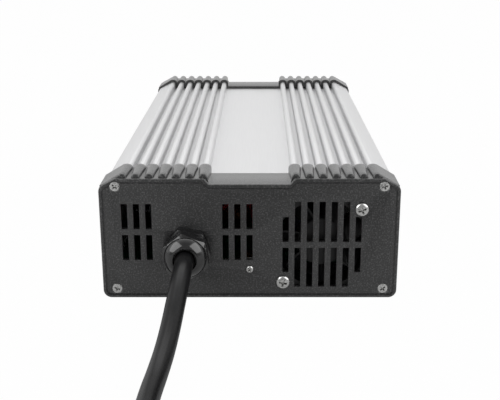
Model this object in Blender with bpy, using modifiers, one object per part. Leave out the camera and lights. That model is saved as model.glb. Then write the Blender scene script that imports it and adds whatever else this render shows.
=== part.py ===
"""A fan-cooled battery charger in a finned aluminium case.

Metres, +Z up. The origin is the bottom centre of the case, +Y runs from the front end (vents, fan, output
lead) to the rear end (mains inlet), and +X is to the right when the front end is looked at.
"""

import bmesh
import bpy
from math import cos, pi, radians, sin, sqrt, tan
from mathutils import Matrix, Vector

# Case
CASE_LENGTH = 0.280
CASE_WIDTH = 0.1534
CAP_TOP = 0.0653  # the flat between the bumps on top of an end cap
CAP_DEPTH = 0.020
CAP_WALL = 0.0020  # the cap's skin outside the extrusion
PLATE = 0.0030  # the cap's end plate
CORNER_RADIUS = 0.0040
RIM_BEVEL = 0.0011
PANEL_SIDE = 0.0026  # rim left outside the sunk panel at the sides
PANEL_EDGE = 0.0016  # and at its top and bottom
PANEL_SINK = 0.0003
CLEAR = 0.0003  # between pieces that rest on or in each other

# Ribs of the extrusion, and the bumps of the caps that cover them
RIB_COUNT = 7
RIB_PITCH = 0.00685
LAST_RIB_IN = 0.0121  # from the case's side
RIB_WIDTH = 0.0037
RIB_HEIGHT = 0.0052
BUMP_RISE = 0.0022
BUMP_FRONT_WIDTH = 0.0046
OUTER_BUMP_ARC = 128.0  # degrees of the outermost bump's arch before it meets the shoulder
BUMP_SETBACK = 0.0015
NOSE_LENGTH = 0.0016
RECESS_DEPTH = 0.0030
RECESS_BEFORE_RIBS = 0.0035  # from the recess's floor to the first rib's middle
RECESS_STEP = 0.0030
SHOULDER_ANGLE = radians(27.4)

# Extrusion
SHELL_WALL = 0.0016
SIDE_WALL = 0.0016
PORT_RADIUS = 0.0032
LEDGE_REACH = 0.0020
LEDGE_THICK = 0.0012

# Corner screws, countersunk M3
SCREW_RADIUS = 0.0012
SCREW_HEAD_RADIUS = 0.00265
SCREW_HEAD_DEPTH = 0.0016
SCREW_LENGTH = 0.012
UPPER_SCREW_IN = 0.0084  # from the case's side and from the caps' top
UPPER_SCREW_DOWN = 0.0042
LOWER_SCREW_IN = 0.0073
LOWER_SCREW_UP = 0.0051

# Vent slots
SLOT_WIDTH = 0.0032
SLOT_PITCH = 0.00615
SLOT_BAR = 0.0032  # between the two rows
SLOT_OVER_SCREW = 0.0050
SLOT_UNDER_TOP = 0.0135
LOWER_SLOT_MORE = 0.0001  # the lower row's slots are a little longer
VENT_COLUMNS = 3
REAR_VENT_PLACE = -45.0 / 76.7  # of the case's half width
REAR_VENT_COLUMNS = 7

# Fan
FAN_PLACE = 37.2 / 40.9  # of the way from the middle to where it would touch the screw ports
FAN_PORT_GAP = 0.0003
FAN_FOOT_GAP = 0.0004
FAN_HEADROOM = 0.0047
FAN_DEPTH = 0.015
FAN_HOLE_SHARE = 0.8  # of the frame's size, as on such fans
FAN_DUCT_SHARE = 0.48
FAN_FLANGE = 0.0030
FAN_CORNER_RADIUS = 0.0040
FAN_MOUNT_PLATE = 0.0016
HUB_RADIUS = 0.0130
HUB_WALL = 0.0012
HUB_INSET = 0.0026  # hub face behind the frame's front
HUB_DEPTH = 0.0095
BLADE_COUNT = 7
BLADE_TIP_GAP = 0.0012
BLADE_THICK = 0.0011
BLADE_SPREAD = radians(34)
SHAFT_RADIUS = 0.0010
POST_RADIUS = 0.0033
STATOR_RADIUS = 0.0095
STRUT_WIDTH = 0.0030
STRUT_COUNT = 4
GRILLE_ASIDE = -0.0001  # from the fan's centre
GRILLE_RAISE = 0.0006
GRILLE_INSET = 0.01262  # outer columns, within the fan's size
GRILLE_COLUMNS = 7
GRILLE_BAR = 0.0032
GRILLE_DUCT_GAP = 0.0006  # long slots end inside the duct
GRILLE_SCREW_GAP = 0.0012  # short ones clear of the screws' heads
FAN_SCREW_HEAD_RADIUS = 0.0036
FAN_SCREW_RADIUS = 0.0017
FAN_SCREW_LENGTH = 0.012
PAN_HEAD_RISE = 0.0020

# Small screw under the middle vent, and the bracket that it holds
PANEL_SCREW_Z = 0.0162
PANEL_SCREW_HEAD_RADIUS = 0.00195
PANEL_SCREW_HEAD_RISE = 0.0013
PANEL_SCREW_LENGTH = 0.006
BRACKET_WIDTH = 0.010
BRACKET_THICK = 0.0012
BRACKET_REACH = 0.029
BRACKET_RISE = 0.0050

# Places across the front plate, as shares of the width that the fan leaves, from the fan leftwards
PANEL_SCREW_PLACE = 12.3 / 88.9
MIDDLE_VENT_PLACE = 18.5 / 88.9
GLAND_PLACE = 44.4 / 88.9
LEFT_VENT_PLACE = 70.1 / 88.9

# Cable gland and output lead
GLAND_Z = 0.0278
GLAND_FLATS = 0.0220
GLAND_FLANGE = 0.0053
GLAND_THREAD_RADIUS = 0.0079
GLAND_INNER_LENGTH = 0.0110
SPIGOT_RADIUS = 0.0082
SPIGOT_LENGTH = 0.0060
NUT_HEX_LENGTH = 0.0073
NUT_DOME_LENGTH = 0.0041
NUT_RING_RADIUS = 0.0109
NUT_MOUTH_RADIUS = 0.0060
NUT_MOUTH_LAND = 0.0009
NUT_CHAMFER_ANGLE = radians(32)
SEAL_GRIP = 0.0016
SEAL_SETBACK = 0.0015
NUT_TURN = radians(37)
BODY_TURN = radians(49)
LOCKNUT_THICK = 0.0050
LEAD_RADIUS = 0.00475
LEAD_INNER_END = 0.0140  # past the front plate, inside the case
LEAD_FALL = (  # the lead's way from the gland's mouth: sideways, forwards, and height over the floor
    (-0.0002, 0.0080, 0.0270),
    (-0.0008, 0.0180, 0.0240),
    (-0.0018, 0.0290, 0.0192),
    (-0.0030, 0.0410, 0.0135),
    (-0.0044, 0.0540, 0.0087),
    (-0.0060, 0.0680, 0.0058),
    (-0.0072, 0.0810, 0.0049),
    (-0.0077, 0.0930, 0.0048),
    (-0.0078, 0.1130, 0.0048),
)

# Coil of the lead on the floor, and the connector beside it
COIL_FORWARD = 0.1750  # its centre from the gland's mouth
COIL_OUTER_TURN = 0.0573
COIL_INNER_TURN = 0.0475
COIL_HEIGHT = 0.0180
CONNECTOR_TURN = radians(-14)
CONNECTOR_RADIUS = 0.0090
CONNECTOR_LENGTH = 0.032
CONNECTOR_REAR_ROUND = 0.0010
CONNECTOR_NOSE_STEP = 0.0008
CONNECTOR_NOSE_LENGTH = 0.0100
CONNECTOR_CAVITY = 0.0120
BOOT_LENGTH = 0.024
BOOT_RADIUS = 0.0078
BOOT_NECK_RADIUS = 0.0058
INSERT_RADIUS = 0.0074
INSERT_SETBACK = 0.0020
CONTACT_COUNT = 3
CONTACT_HOLE_RADIUS = 0.0014
CONTACT_HOLE_DEPTH = 0.0060
CONTACT_CIRCLE = 0.0038

# Mains inlet and status lights on the rear cap
INLET_PLACE = 28.0 / 76.7  # of the case's half width
INLET_Z = 0.0310
INLET_FLANGE = (0.0310, 0.0250)
INLET_FLANGE_THICK = 0.0017
INLET_FLANGE_ROUND = 0.0025
INLET_BODY = (0.0270, 0.0196)
INLET_SOCKET = (0.0246, 0.0166)
INLET_CHAMFER = 0.0045
INLET_DEPTH = 0.0190
INLET_SOCKET_DEPTH = 0.0170
PIN_SPACING = 0.0140
PIN_RAISE = 0.0020
PIN_SECTION = (0.0020, 0.0040)
PIN_SETBACK = 0.0050
PIN_TAB = 0.0070
PIN_BEVEL = 0.0005
LIGHT_IN = 0.0147  # from the case's side
LIGHTS_DOWN = (0.0173, 0.0273)  # from the caps' top
LIGHT_RADIUS = 0.0024
LIGHT_BODY_LENGTH = 0.0060
LIGHT_DOME = 0.0012  # how far the lens stands out of the plate
LIGHT_COLLAR = (0.0006, 0.0010)
LIGHT_BOARD = (0.0100, 0.0012, 0.0200)

# Circuit board and what stands on it
BOARD_THICK = 0.0016
BOARD_UNDER = 0.0106
BOARD_EDGE_GAP = 0.0004
BOARD_BEHIND_FAN = 0.0037
BOARD_REAR_GAP = 0.0250
SINK_IN = 0.0151  # from the case's wall to the bar's face
SINK_BASE = 0.0040
SINK_FINS = 4
SINK_FIN_THICK = 0.0016
SINK_FIN_REACH = 0.0085
SINK_HEADROOM = 0.0102
SINK_LENGTH = 0.124
TRANSISTOR = (0.0050, 0.0160, 0.0210)
TRANSISTOR_PLACES = (-0.036, 0.020)
CORE_PLACE = 21.7 / 34.4  # its left gap, of what it and the large capacitors leave between the transistors
BULK_PLACE = 8.2 / 34.4  # the large capacitors' right gap, likewise
CORE_ALONG = 11.15 / 114.85  # of the board's half length from its middle
CORE_SECTION = (0.046, 0.020)
CORE_HEADROOM = 0.0062
CORE_LEG = 0.014
CORE_SIDE_LEG = 0.007
CORE_YOKE = 0.007
WINDING_DEPTH = 0.036
BULK_RADIUS = 0.0125
BULK_HEADROOM = 0.0062
BULK_ALONG = 17.15 / 114.85
BULK_PITCH = 0.032
BULK_COUNT = 2
OUTPUT_RADIUS = 0.0065
OUTPUT_HEIGHT = 0.025
OUTPUT_PLACE = (28.0 / 72.7, -62.85 / 114.85)  # shares of the board's half width and half length, from its middle
OUTPUT_PITCH = 0.016
OUTPUT_COUNT = 3
INDUCTOR_PLACE = (-8.0 / 72.7, -41.85 / 114.85)
INDUCTOR_RADII = (0.0130, 0.0055)
CHOKE_PLACE = (20.0 / 72.7, 78.15 / 114.85)
CHOKE_RADII = (0.0110, 0.0050)
FILM_PLACE = (-12.0 / 72.7, 78.15 / 114.85)
FILM_SIZE = (0.018, 0.008, 0.015)
RELAY_PLACE = (-44.0 / 72.7, -76.85 / 114.85)
RELAY_SIZE = (0.019, 0.0155, 0.015)
FUSE_PLACE = (50.0 / 72.7, 91.15 / 114.85)
FUSE_RADIUS = 0.0026
FUSE_LENGTH = 0.020
FAN_LEAD_IN = (0.0085, 0.0035)  # on the fan's rear flange, from its left and upper edges
POWER_WIRE_RADIUS = 0.0015
SIGNAL_WIRE_RADIUS = 0.0010
POSITIVE_STRAIGHT = 0.0030
NEGATIVE_STRAIGHT = 0.0040
POSITIVE_ROUTE = (  # sideways and along from the lead's end, and height over the floor; the last one is on the board
    (0.0067, 0.0080, 0.0312), (0.0137, 0.0140, 0.0362), (0.0192, 0.0180, 0.0392), (0.0262, 0.0230, 0.0405),
    (0.0317, 0.0270, 0.0360), (0.0342, 0.0290, 0.0260), (0.0346, 0.0296, None),
)
NEGATIVE_ROUTE = ((-0.0048, 0.0120, 0.0235), (-0.0058, 0.0170, 0.0180), (-0.0060, 0.0185, None))
FAN_LEAD_ROUTE = (  # sideways, along, and down as a share of the way to the board
    (0.0, 0.0, 0.0), (0.0, 0.0030, 1 / 38), (0.0, 0.0080, 10 / 38), (0.0010, 0.0110, 24 / 38), (0.0010, 0.0120, 1.0),
)
MAINS_WIRE_ROUTE = ((0.0040, 0.0005), (0.0080, 0.0050), (0.0095, 0.0100))  # back from the pin's tab, and down
MAINS_WIRE_REACH = 0.0100
LIGHT_LEAD_ROUTE = (
    (0.0, 0.0, 0.0), (0.0, 0.0050, 1 / 30.5), (-0.0010, 0.0130, 10 / 30.5), (-0.0030, 0.0190, 20 / 30.5),
    (-0.0030, 0.0210, 1.0),
)

# Worked out from the above
HALF_WIDTH = CASE_WIDTH / 2
HALF_LENGTH = CASE_LENGTH / 2
PANEL_FACE = HALF_LENGTH - PANEL_SINK  # distance of the sunk panels from the middle of the case
PLATE_BACK = HALF_LENGTH - PLATE
SHELL_HALF = HALF_WIDTH - CAP_WALL
SHELL_TOP = CAP_TOP - RECESS_DEPTH - CAP_WALL
SHELL_END = PLATE_BACK - CLEAR
LAST_RIB = HALF_WIDTH - LAST_RIB_IN
FIRST_RIB = LAST_RIB - (RIB_COUNT - 1) * RIB_PITCH
RECESS_HALF = FIRST_RIB - RECESS_BEFORE_RIBS
RIB_TOP = SHELL_TOP + RIB_HEIGHT
FLOOR_INSIDE = CAP_WALL + SHELL_WALL
CEILING_INSIDE = SHELL_TOP - SHELL_WALL
HALF_INSIDE = SHELL_HALF - SIDE_WALL
BOARD_TOP = BOARD_UNDER + BOARD_THICK
STAND = BOARD_TOP + CLEAR  # underside of everything that stands on the board
UPPER_SCREW = (HALF_WIDTH - UPPER_SCREW_IN, CAP_TOP - UPPER_SCREW_DOWN)
LOWER_SCREW = (HALF_WIDTH - LOWER_SCREW_IN, LOWER_SCREW_UP)
FAN_SIZE = CEILING_INSIDE - FLOOR_INSIDE - FAN_FOOT_GAP - FAN_HEADROOM
FAN_X = FAN_PLACE * (LOWER_SCREW[0] - PORT_RADIUS - FAN_PORT_GAP - FAN_SIZE / 2)
FAN_Z = FLOOR_INSIDE + FAN_FOOT_GAP + FAN_SIZE / 2
FAN_HOLE_PITCH = FAN_HOLE_SHARE * FAN_SIZE
FAN_DUCT_RADIUS = FAN_DUCT_SHARE * FAN_SIZE
GRILLE_X = FAN_X + GRILLE_ASIDE
GRILLE_Z = FAN_Z + GRILLE_RAISE
GRILLE_PITCH = (FAN_SIZE - GRILLE_INSET) / (GRILLE_COLUMNS - 1)
GRILLE_LONG = FAN_DUCT_RADIUS - GRILLE_BAR / 2 - GRILLE_DUCT_GAP
GRILLE_SHORT = FAN_HOLE_PITCH / 2 - FAN_SCREW_HEAD_RADIUS - GRILLE_BAR / 2 - GRILLE_SCREW_GAP
FAN_LEFT = FAN_X - FAN_SIZE / 2
BESIDE_FAN = FAN_LEFT + HALF_WIDTH
PANEL_SCREW_X = FAN_LEFT - PANEL_SCREW_PLACE * BESIDE_FAN
MIDDLE_VENT_X = FAN_LEFT - MIDDLE_VENT_PLACE * BESIDE_FAN
GLAND_X = FAN_LEFT - GLAND_PLACE * BESIDE_FAN
LEFT_VENT_X = FAN_LEFT - LEFT_VENT_PLACE * BESIDE_FAN
REAR_VENT_X = REAR_VENT_PLACE * HALF_WIDTH
SLOT_LOW = PANEL_SCREW_Z + SLOT_OVER_SCREW
SLOT_HIGH = CAP_TOP - SLOT_UNDER_TOP
SLOT_MIDDLE = (SLOT_LOW + SLOT_HIGH - SLOT_BAR) / 2 + LOWER_SLOT_MORE
SLOT_ROWS = ((SLOT_LOW, SLOT_MIDDLE), (SLOT_MIDDLE + SLOT_BAR, SLOT_HIGH))
INLET_X = INLET_PLACE * HALF_WIDTH
LIGHT_X = HALF_WIDTH - LIGHT_IN
LIGHT_HEIGHTS = tuple(CAP_TOP - down for down in LIGHTS_DOWN)
FAN_FRONT = -SHELL_END
FAN_BACK = FAN_FRONT + FAN_DEPTH
BOARD_FRONT = FAN_BACK + BOARD_BEHIND_FAN
BOARD_REAR = SHELL_END - BOARD_REAR_GAP
BOARD_MIDDLE = (BOARD_FRONT + BOARD_REAR) / 2
BOARD_HALF_LENGTH = (BOARD_REAR - BOARD_FRONT) / 2
BOARD_HALF_WIDTH = HALF_INSIDE - BOARD_EDGE_GAP
SINK_X = HALF_INSIDE - SINK_IN
SINK_HEIGHT = CEILING_INSIDE - STAND - SINK_HEADROOM
CORE_SIZE = (*CORE_SECTION, CEILING_INSIDE - STAND - CORE_HEADROOM)
BULK_HEIGHT = CEILING_INSIDE - STAND - BULK_HEADROOM
TRANSISTOR_FACE = SINK_X - CLEAR - TRANSISTOR[0]
BETWEEN_TRANSISTORS = 2 * (TRANSISTOR_FACE - BULK_RADIUS) - CORE_SIZE[0]
CORE_X = CORE_SIZE[0] / 2 + CORE_PLACE * BETWEEN_TRANSISTORS - TRANSISTOR_FACE
CORE_Y = BOARD_MIDDLE + CORE_ALONG * BOARD_HALF_LENGTH
BULK_X = TRANSISTOR_FACE - BULK_PLACE * BETWEEN_TRANSISTORS - BULK_RADIUS
GLAND_MOUTH = -(PANEL_FACE + GLAND_FLANGE + NUT_HEX_LENGTH + NUT_DOME_LENGTH + 2 * CLEAR)
COIL_X = GLAND_X + LEAD_FALL[-1][0] + COIL_OUTER_TURN
COIL_Y = GLAND_MOUTH - COIL_FORWARD
OVERSHOOT = 0.0020  # how far a cutter runs past the face that it opens

for obj in list(bpy.data.objects):
    bpy.data.objects.remove(obj, do_unlink=True)

PARTS = bpy.data.collections.new("battery_charger")
TOOLS = bpy.data.collections.new("cutters")
bpy.context.scene.collection.children.link(PARTS)
bpy.context.scene.collection.children.link(TOOLS)


def material(name, colour, roughness, metallic=0.0):
    made = bpy.data.materials.new(name)
    made.use_nodes = True
    shader = made.node_tree.nodes["Principled BSDF"]
    shader.inputs["Base Color"].default_value = (*colour, 1.0)
    shader.inputs["Roughness"].default_value = roughness
    shader.inputs["Metallic"].default_value = metallic
    return made


CAP_PLASTIC = material("cap_plastic", (0.045, 0.045, 0.047), 0.55)
ALUMINIUM = material("brushed_aluminium", (0.78, 0.79, 0.80), 0.32, 1.0)
SINK_METAL = material("heat_sink_metal", (0.60, 0.61, 0.62), 0.45, 1.0)
STEEL = material("zinc_steel", (0.70, 0.70, 0.70), 0.25, 1.0)
NYLON = material("gland_nylon", (0.018, 0.018, 0.019), 0.35)
RUBBER = material("seal_rubber", (0.010, 0.010, 0.010), 0.70)
CABLE_JACKET = material("cable_jacket", (0.012, 0.012, 0.013), 0.40)
FAN_PLASTIC = material("fan_plastic", (0.020, 0.020, 0.021), 0.45)
COPPER = material("copper_winding", (0.72, 0.36, 0.18), 0.40, 1.0)
BOARD_GREEN = material("board_laminate", (0.03, 0.16, 0.07), 0.50)
FERRITE = material("ferrite", (0.06, 0.06, 0.065), 0.60)
TAPE = material("winding_tape", (0.75, 0.60, 0.08), 0.50)
SLEEVE = material("capacitor_sleeve", (0.03, 0.04, 0.09), 0.35)
EPOXY = material("component_epoxy", (0.025, 0.025, 0.028), 0.45)
FILM = material("film_capacitor_case", (0.70, 0.52, 0.06), 0.40)
RED = material("red_insulation", (0.60, 0.02, 0.03), 0.40)
BLACK = material("black_insulation", (0.02, 0.02, 0.02), 0.40)
BROWN = material("brown_insulation", (0.22, 0.09, 0.03), 0.40)
BLUE = material("blue_insulation", (0.03, 0.12, 0.50), 0.40)
EARTH = material("green_yellow_insulation", (0.35, 0.50, 0.05), 0.40)
BRASS = material("plated_brass", (0.75, 0.68, 0.50), 0.30, 1.0)
RED_LENS = material("red_lens", (0.65, 0.03, 0.03), 0.15)
GREEN_LENS = material("green_lens", (0.05, 0.55, 0.10), 0.15)
GLASS = material("fuse_glass", (0.80, 0.85, 0.85), 0.10)


def add(name, mesh, finish):
    """A piece of the charger."""
    piece = bpy.data.objects.new(name, mesh)
    if finish and not mesh.materials:
        mesh.materials.append(finish)
    PARTS.objects.link(piece)
    return piece


def tool(name, mesh):
    """A shape that only cuts or joins another."""
    shape = bpy.data.objects.new(name, mesh)
    shape.hide_render = True
    shape.display_type = "WIRE"
    TOOLS.objects.link(shape)
    return shape


def mesh_of(bm, name):
    bmesh.ops.recalc_face_normals(bm, faces=bm.faces[:])
    if bm.calc_volume(signed=True) < 0:
        bmesh.ops.reverse_faces(bm, faces=bm.faces[:])
    mesh = bpy.data.meshes.new(name)
    bm.to_mesh(mesh)
    bm.free()
    return mesh


def combine(target, shape, operation):
    change = target.modifiers.new(shape.name, "BOOLEAN")
    change.operation = operation
    change.solver = "EXACT"
    change.object = shape


def cut(target, shape):
    combine(target, shape, "DIFFERENCE")


def join(target, shape):
    combine(target, shape, "UNION")


def baked(obj):
    """The object's mesh with its modifiers applied; the object itself goes."""
    graph = bpy.context.evaluated_depsgraph_get()
    mesh = bpy.data.meshes.new_from_object(obj.evaluated_get(graph))
    bpy.data.objects.remove(obj, do_unlink=True)
    return mesh


def arc(centre, radius, start, end, steps):
    """Points (x, z) on an arc, both ends included; the angles are in degrees from +X towards +Z."""
    turn = [radians(start + (end - start) * i / steps) for i in range(steps + 1)]
    return [(centre[0] + radius * cos(a), centre[1] + radius * sin(a)) for a in turn]


def mirrored(half):
    """A closed outline from its right half, which runs from the bottom to the top."""
    return half + [(-x, z) for x, z in reversed(half)]


def prism(outline, start, end, into=None):
    """An (x, z) outline extruded along Y."""
    bm = into or bmesh.new()
    face = bm.faces.new([bm.verts.new((x, start, z)) for x, z in outline])
    far = bmesh.ops.extrude_face_region(bm, geom=[face])["geom"]
    moved = [v for v in far if isinstance(v, bmesh.types.BMVert)]
    bmesh.ops.translate(bm, verts=moved, vec=(0, end - start, 0))
    return bm


def box(low, high, into=None):
    bm = into or bmesh.new()
    size = [b - a for a, b in zip(low, high)]
    centre = [(a + b) / 2 for a, b in zip(low, high)]
    place = Matrix.Translation(centre) @ Matrix.Diagonal((*size, 1))
    bmesh.ops.create_cube(bm, size=1.0, matrix=place)
    return bm


def rod(x, z, radius, start, end, sides=20, end_radius=None, into=None):
    """A cylinder or cone along Y, from start to end."""
    bm = into or bmesh.new()
    place = Matrix.Translation((x, (start + end) / 2, z)) @ Matrix.Rotation(-pi / 2, 4, "X")
    last = radius if end_radius is None else end_radius
    bmesh.ops.create_cone(
        bm, cap_ends=True, segments=sides, radius1=radius, radius2=last, depth=end - start, matrix=place
    )
    return bm


def loft(rings):
    """A closed body through rings of equally many points."""
    bm = bmesh.new()
    rows = [[bm.verts.new(p) for p in ring] for ring in rings]
    bm.faces.new(rows[0])
    bm.faces.new(rows[-1])
    for one, two in zip(rows, rows[1:]):
        for i in range(len(one)):
            j = (i + 1) % len(one)
            bm.faces.new((one[i], one[j], two[j], two[i]))
    bmesh.ops.recalc_face_normals(bm, faces=bm.faces[:])
    bmesh.ops.triangulate(bm, faces=bm.faces[:])
    return bm


def turned(name, profile, finish, place=None, steps=20, closed=False):
    """A turned piece: (radius, height) points that run down its outer side, spun about local Z."""
    mesh = bpy.data.meshes.new(name)
    edges = [(i, i + 1) for i in range(len(profile) - 1)]
    if closed:
        edges.append((len(profile) - 1, 0))
    mesh.from_pydata([(r, 0, z) for r, z in profile], edges, [])
    piece = add(name, mesh, finish) if finish else tool(name, mesh)
    spin = piece.modifiers.new("turn", "SCREW")
    spin.axis = "Z"
    spin.angle = 2 * pi
    spin.steps = steps
    spin.render_steps = steps
    spin.use_merge_vertices = True
    spin.merge_threshold = 1e-5
    if place:
        piece.matrix_world = place
    return piece


def facing(x, y, z, side):
    """A place whose local Z points out of the front end (side -1) or the rear end (side 1)."""
    return Matrix.Translation((x, y, z)) @ Matrix.Rotation(-side * pi / 2, 4, "X")


def smooth_route(points, per_span):
    """Points on a smooth curve through the given ones."""
    p = [Vector(q) for q in points]
    p = [2 * p[0] - p[1], *p, 2 * p[-1] - p[-2]]
    route = []
    for a, b, c, d in zip(p, p[1:], p[2:], p[3:]):
        for i in range(per_span):
            t = i / per_span
            route.append(
                0.5 * (2 * b + (c - a) * t + (2 * a - 5 * b + 4 * c - d) * t**2 + (3 * b - a - 3 * c + d) * t**3)
            )
    return [*route, p[-2]]


def wire(name, points, radius, finish, per_span=2):
    """A round wire or cord as a curve with filled ends."""
    curve = bpy.data.curves.new(name, "CURVE")
    curve.dimensions = "3D"
    curve.bevel_depth = radius
    curve.bevel_resolution = 2
    curve.use_fill_caps = True
    line = curve.splines.new("POLY")
    route = smooth_route(points, per_span)
    line.points.add(len(route) - 1)
    for spot, at in zip(line.points, route):
        spot.co = (*at, 1.0)
    curve.materials.append(finish)
    piece = bpy.data.objects.new(name, curve)
    PARTS.objects.link(piece)
    return piece


# Outlines across the case

def shoulder(radius, x):
    """Height at x of the slope that touches a round of this radius about the last rib's crest."""
    crest = RIB_TOP - RIB_WIDTH / 2
    touch_x = LAST_RIB + radius * sin(SHOULDER_ANGLE)
    touch_z = crest + radius * cos(SHOULDER_ANGLE)
    return touch_z - tan(SHOULDER_ANGLE) * (x - touch_x)


def cap_outline(side=0.0, edge=0.0):
    """The end cap seen from its end, taken in by side at the sides and by edge at the top and bottom."""
    half = HALF_WIDTH - side
    base = edge
    top = CAP_TOP - edge
    radius = CORNER_RADIUS - min(side, edge)
    slope = RIB_WIDTH / 2 + CAP_WALL - edge
    corner_z = shoulder(slope, half)
    corner_x = half - (top - corner_z) / tan(SHOULDER_ANGLE)
    outline = [(0, base)]
    outline += arc((half - radius, base + radius), radius, -90, 0, 3)
    outline += [(half, corner_z), (corner_x, top)]
    outline += [(RECESS_HALF + RECESS_STEP - edge / 2, top)]
    outline += [(RECESS_HALF - edge / 2, top - RECESS_DEPTH), (0, top - RECESS_DEPTH)]
    return mirrored(outline[1:-1])


def shell_outline(grow=0.0):
    """The ribbed outside of the extrusion, made larger all round by grow."""
    half = SHELL_HALF + grow
    radius = CORNER_RADIUS - CAP_WALL + grow
    round_top = RIB_WIDTH / 2 + grow
    crest = RIB_TOP - RIB_WIDTH / 2
    floor = SHELL_TOP + grow
    half_side = arc((half - radius, CAP_WALL - grow + radius), radius, -90, 0, 3)
    half_side.append((half, shoulder(round_top, half)))
    slope_angle = 90 - SHOULDER_ANGLE * 180 / pi
    for i in reversed(range(RIB_COUNT)):
        x = FIRST_RIB + i * RIB_PITCH
        if i == RIB_COUNT - 1:
            half_side += arc((x, crest), round_top, slope_angle, 180, 5)
        else:
            half_side.append((x + round_top, floor))
            half_side += arc((x, crest), round_top, 0, 180, 6)
        half_side.append((x - round_top, floor))
    return mirrored(half_side)


def bump_ring(y, half_width, rise):
    """A cut through the row of bumps on the right half of a cap."""
    ring = [(RECESS_HALF - CLEAR, y, CAP_TOP - 1.5 * RECESS_DEPTH)]
    for i in range(RIB_COUNT):
        x = FIRST_RIB + i * RIB_PITCH
        last = i == RIB_COUNT - 1
        steps = 5 if last else 6
        span = OUTER_BUMP_ARC if last else 180.0
        for step in range(steps + 1):
            a = radians(-90 + span * step / steps)
            ring.append((x + half_width * sin(a), y, CAP_TOP - CLEAR + (rise + CLEAR) * cos(a)))
    foot = HALF_WIDTH - CAP_WALL / 2
    ring.append((foot, y, shoulder(RIB_WIDTH / 2 + CAP_WALL, foot) - CLEAR))
    ring.append((foot, y, CAP_TOP - 1.5 * RECESS_DEPTH))
    return ring


def bump_row(side):
    """The bumps, full width where the case slides in and narrower towards the end, with round noses."""
    nose = side * (HALF_LENGTH - BUMP_SETBACK)
    narrow = BUMP_FRONT_WIDTH / 2
    wide = RIB_PITCH / 2 - 0.25 * CLEAR
    inner = side * (HALF_LENGTH - CAP_DEPTH - OVERSHOOT)
    rings = [bump_ring(inner, wide, BUMP_RISE)]
    for t in (0, 45, 80):
        back = NOSE_LENGTH * (1 - sin(radians(t)))
        shrink = cos(radians(t))
        rings.append(bump_ring(nose - side * back, narrow * (0.6 + 0.4 * shrink), BUMP_RISE * shrink))
    return rings


# End caps

def end_cap(name, side):
    """A moulded cap: rim, sunk panel, bumps, and a hollow that fits the ribbed extrusion."""
    end = side * HALF_LENGTH
    inner = side * (HALF_LENGTH - CAP_DEPTH)
    beyond = side * (HALF_LENGTH - CAP_DEPTH - OVERSHOOT)
    bm = prism(cap_outline(), end, beyond)
    rim = [e for e in bm.edges if all(abs(v.co.y - end) < CLEAR / 2 for v in e.verts)]
    bmesh.ops.bevel(bm, geom=rim, offset=RIM_BEVEL, affect="EDGES", segments=2, profile=0.5)
    cap = add(name, mesh_of(bm, name), CAP_PLASTIC)
    for hand in (1, -1):
        bumps = loft([[(hand * x, y, z) for x, y, z in ring] for ring in bump_row(side)])
        join(cap, tool(f"{name}_bumps_{hand}", mesh_of(bumps, "bumps")))
    hollow = prism(shell_outline(CLEAR), side * PLATE_BACK, side * (HALF_LENGTH - CAP_DEPTH - 2 * OVERSHOOT))
    cut(cap, tool(f"{name}_hollow", mesh_of(hollow, "hollow")))
    trim = box(
        (-CASE_WIDTH, min(inner, inner - side * CAP_DEPTH), -CAP_TOP),
        (CASE_WIDTH, max(inner, inner - side * CAP_DEPTH), 2 * CAP_TOP),
    )
    cut(cap, tool(f"{name}_trim", mesh_of(trim, "trim")))
    panel = prism(cap_outline(PANEL_SIDE, PANEL_EDGE), side * PANEL_FACE, end + side * OVERSHOOT)
    cut(cap, tool(f"{name}_panel", mesh_of(panel, "panel")))
    holes = bmesh.new()
    for x, z in corner_places():
        face = side * PANEL_FACE
        sink = face - side * (SCREW_HEAD_DEPTH + CLEAR)
        through = side * (PLATE_BACK - OVERSHOOT)
        countersink(holes, x, z, side, face, sink, through)
    cut(cap, tool(f"{name}_screw_holes", mesh_of(holes, "screw_holes")))
    return cap


def corner_places():
    return [(hand * x, z) for x, z in (UPPER_SCREW, LOWER_SCREW) for hand in (-1, 1)]


def countersink(bm, x, z, side, face, sink, through):
    """A countersunk hole as one body, lofted from its mouth to its far end."""
    wide = SCREW_HEAD_RADIUS + CLEAR
    narrow = SCREW_RADIUS + CLEAR
    rows = ((face + side * OVERSHOOT, wide), (face, wide), (sink, narrow), (through, narrow))
    rings = [[(x + r * cos(a), y, z + r * sin(a)) for a in circle(12)] for y, r in rows]
    piece = loft(rings)
    made = bpy.data.meshes.new("countersink")
    piece.to_mesh(made)
    piece.free()
    bm.from_mesh(made)
    bpy.data.meshes.remove(made)


def circle(count):
    return [2 * pi * i / count for i in range(count)]


def slot_boxes(bm, x, columns, pitch, rows, side):
    """Upright vent slots through an end plate."""
    near, far = sorted((side * (PLATE_BACK - OVERSHOOT), side * (HALF_LENGTH + OVERSHOOT)))
    for i in range(columns):
        at = x + (i - (columns - 1) / 2) * pitch
        for low, high in rows:
            box((at - SLOT_WIDTH / 2, near, low), (at + SLOT_WIDTH / 2, far, high), into=bm)


def grille_boxes(bm):
    """The fan's grille: long slots in the middle and shorter ones at both sides."""
    for i in range(GRILLE_COLUMNS):
        edge = i in (0, GRILLE_COLUMNS - 1)
        length = GRILLE_SHORT if edge else GRILLE_LONG
        half_bar = GRILLE_BAR / 2
        rows = (
            (GRILLE_Z - half_bar - length, GRILLE_Z - half_bar),
            (GRILLE_Z + half_bar, GRILLE_Z + half_bar + length),
        )
        at = GRILLE_X + (i - (GRILLE_COLUMNS - 1) / 2) * GRILLE_PITCH
        slot_boxes(bm, at, 1, GRILLE_PITCH, rows, -1)


def fan_screw_places():
    """Only two of the fan's four corners are screwed, on one diagonal."""
    reach = FAN_HOLE_PITCH / 2
    return [(FAN_X + reach, FAN_Z + reach), (FAN_X - reach, FAN_Z - reach)]


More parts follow.
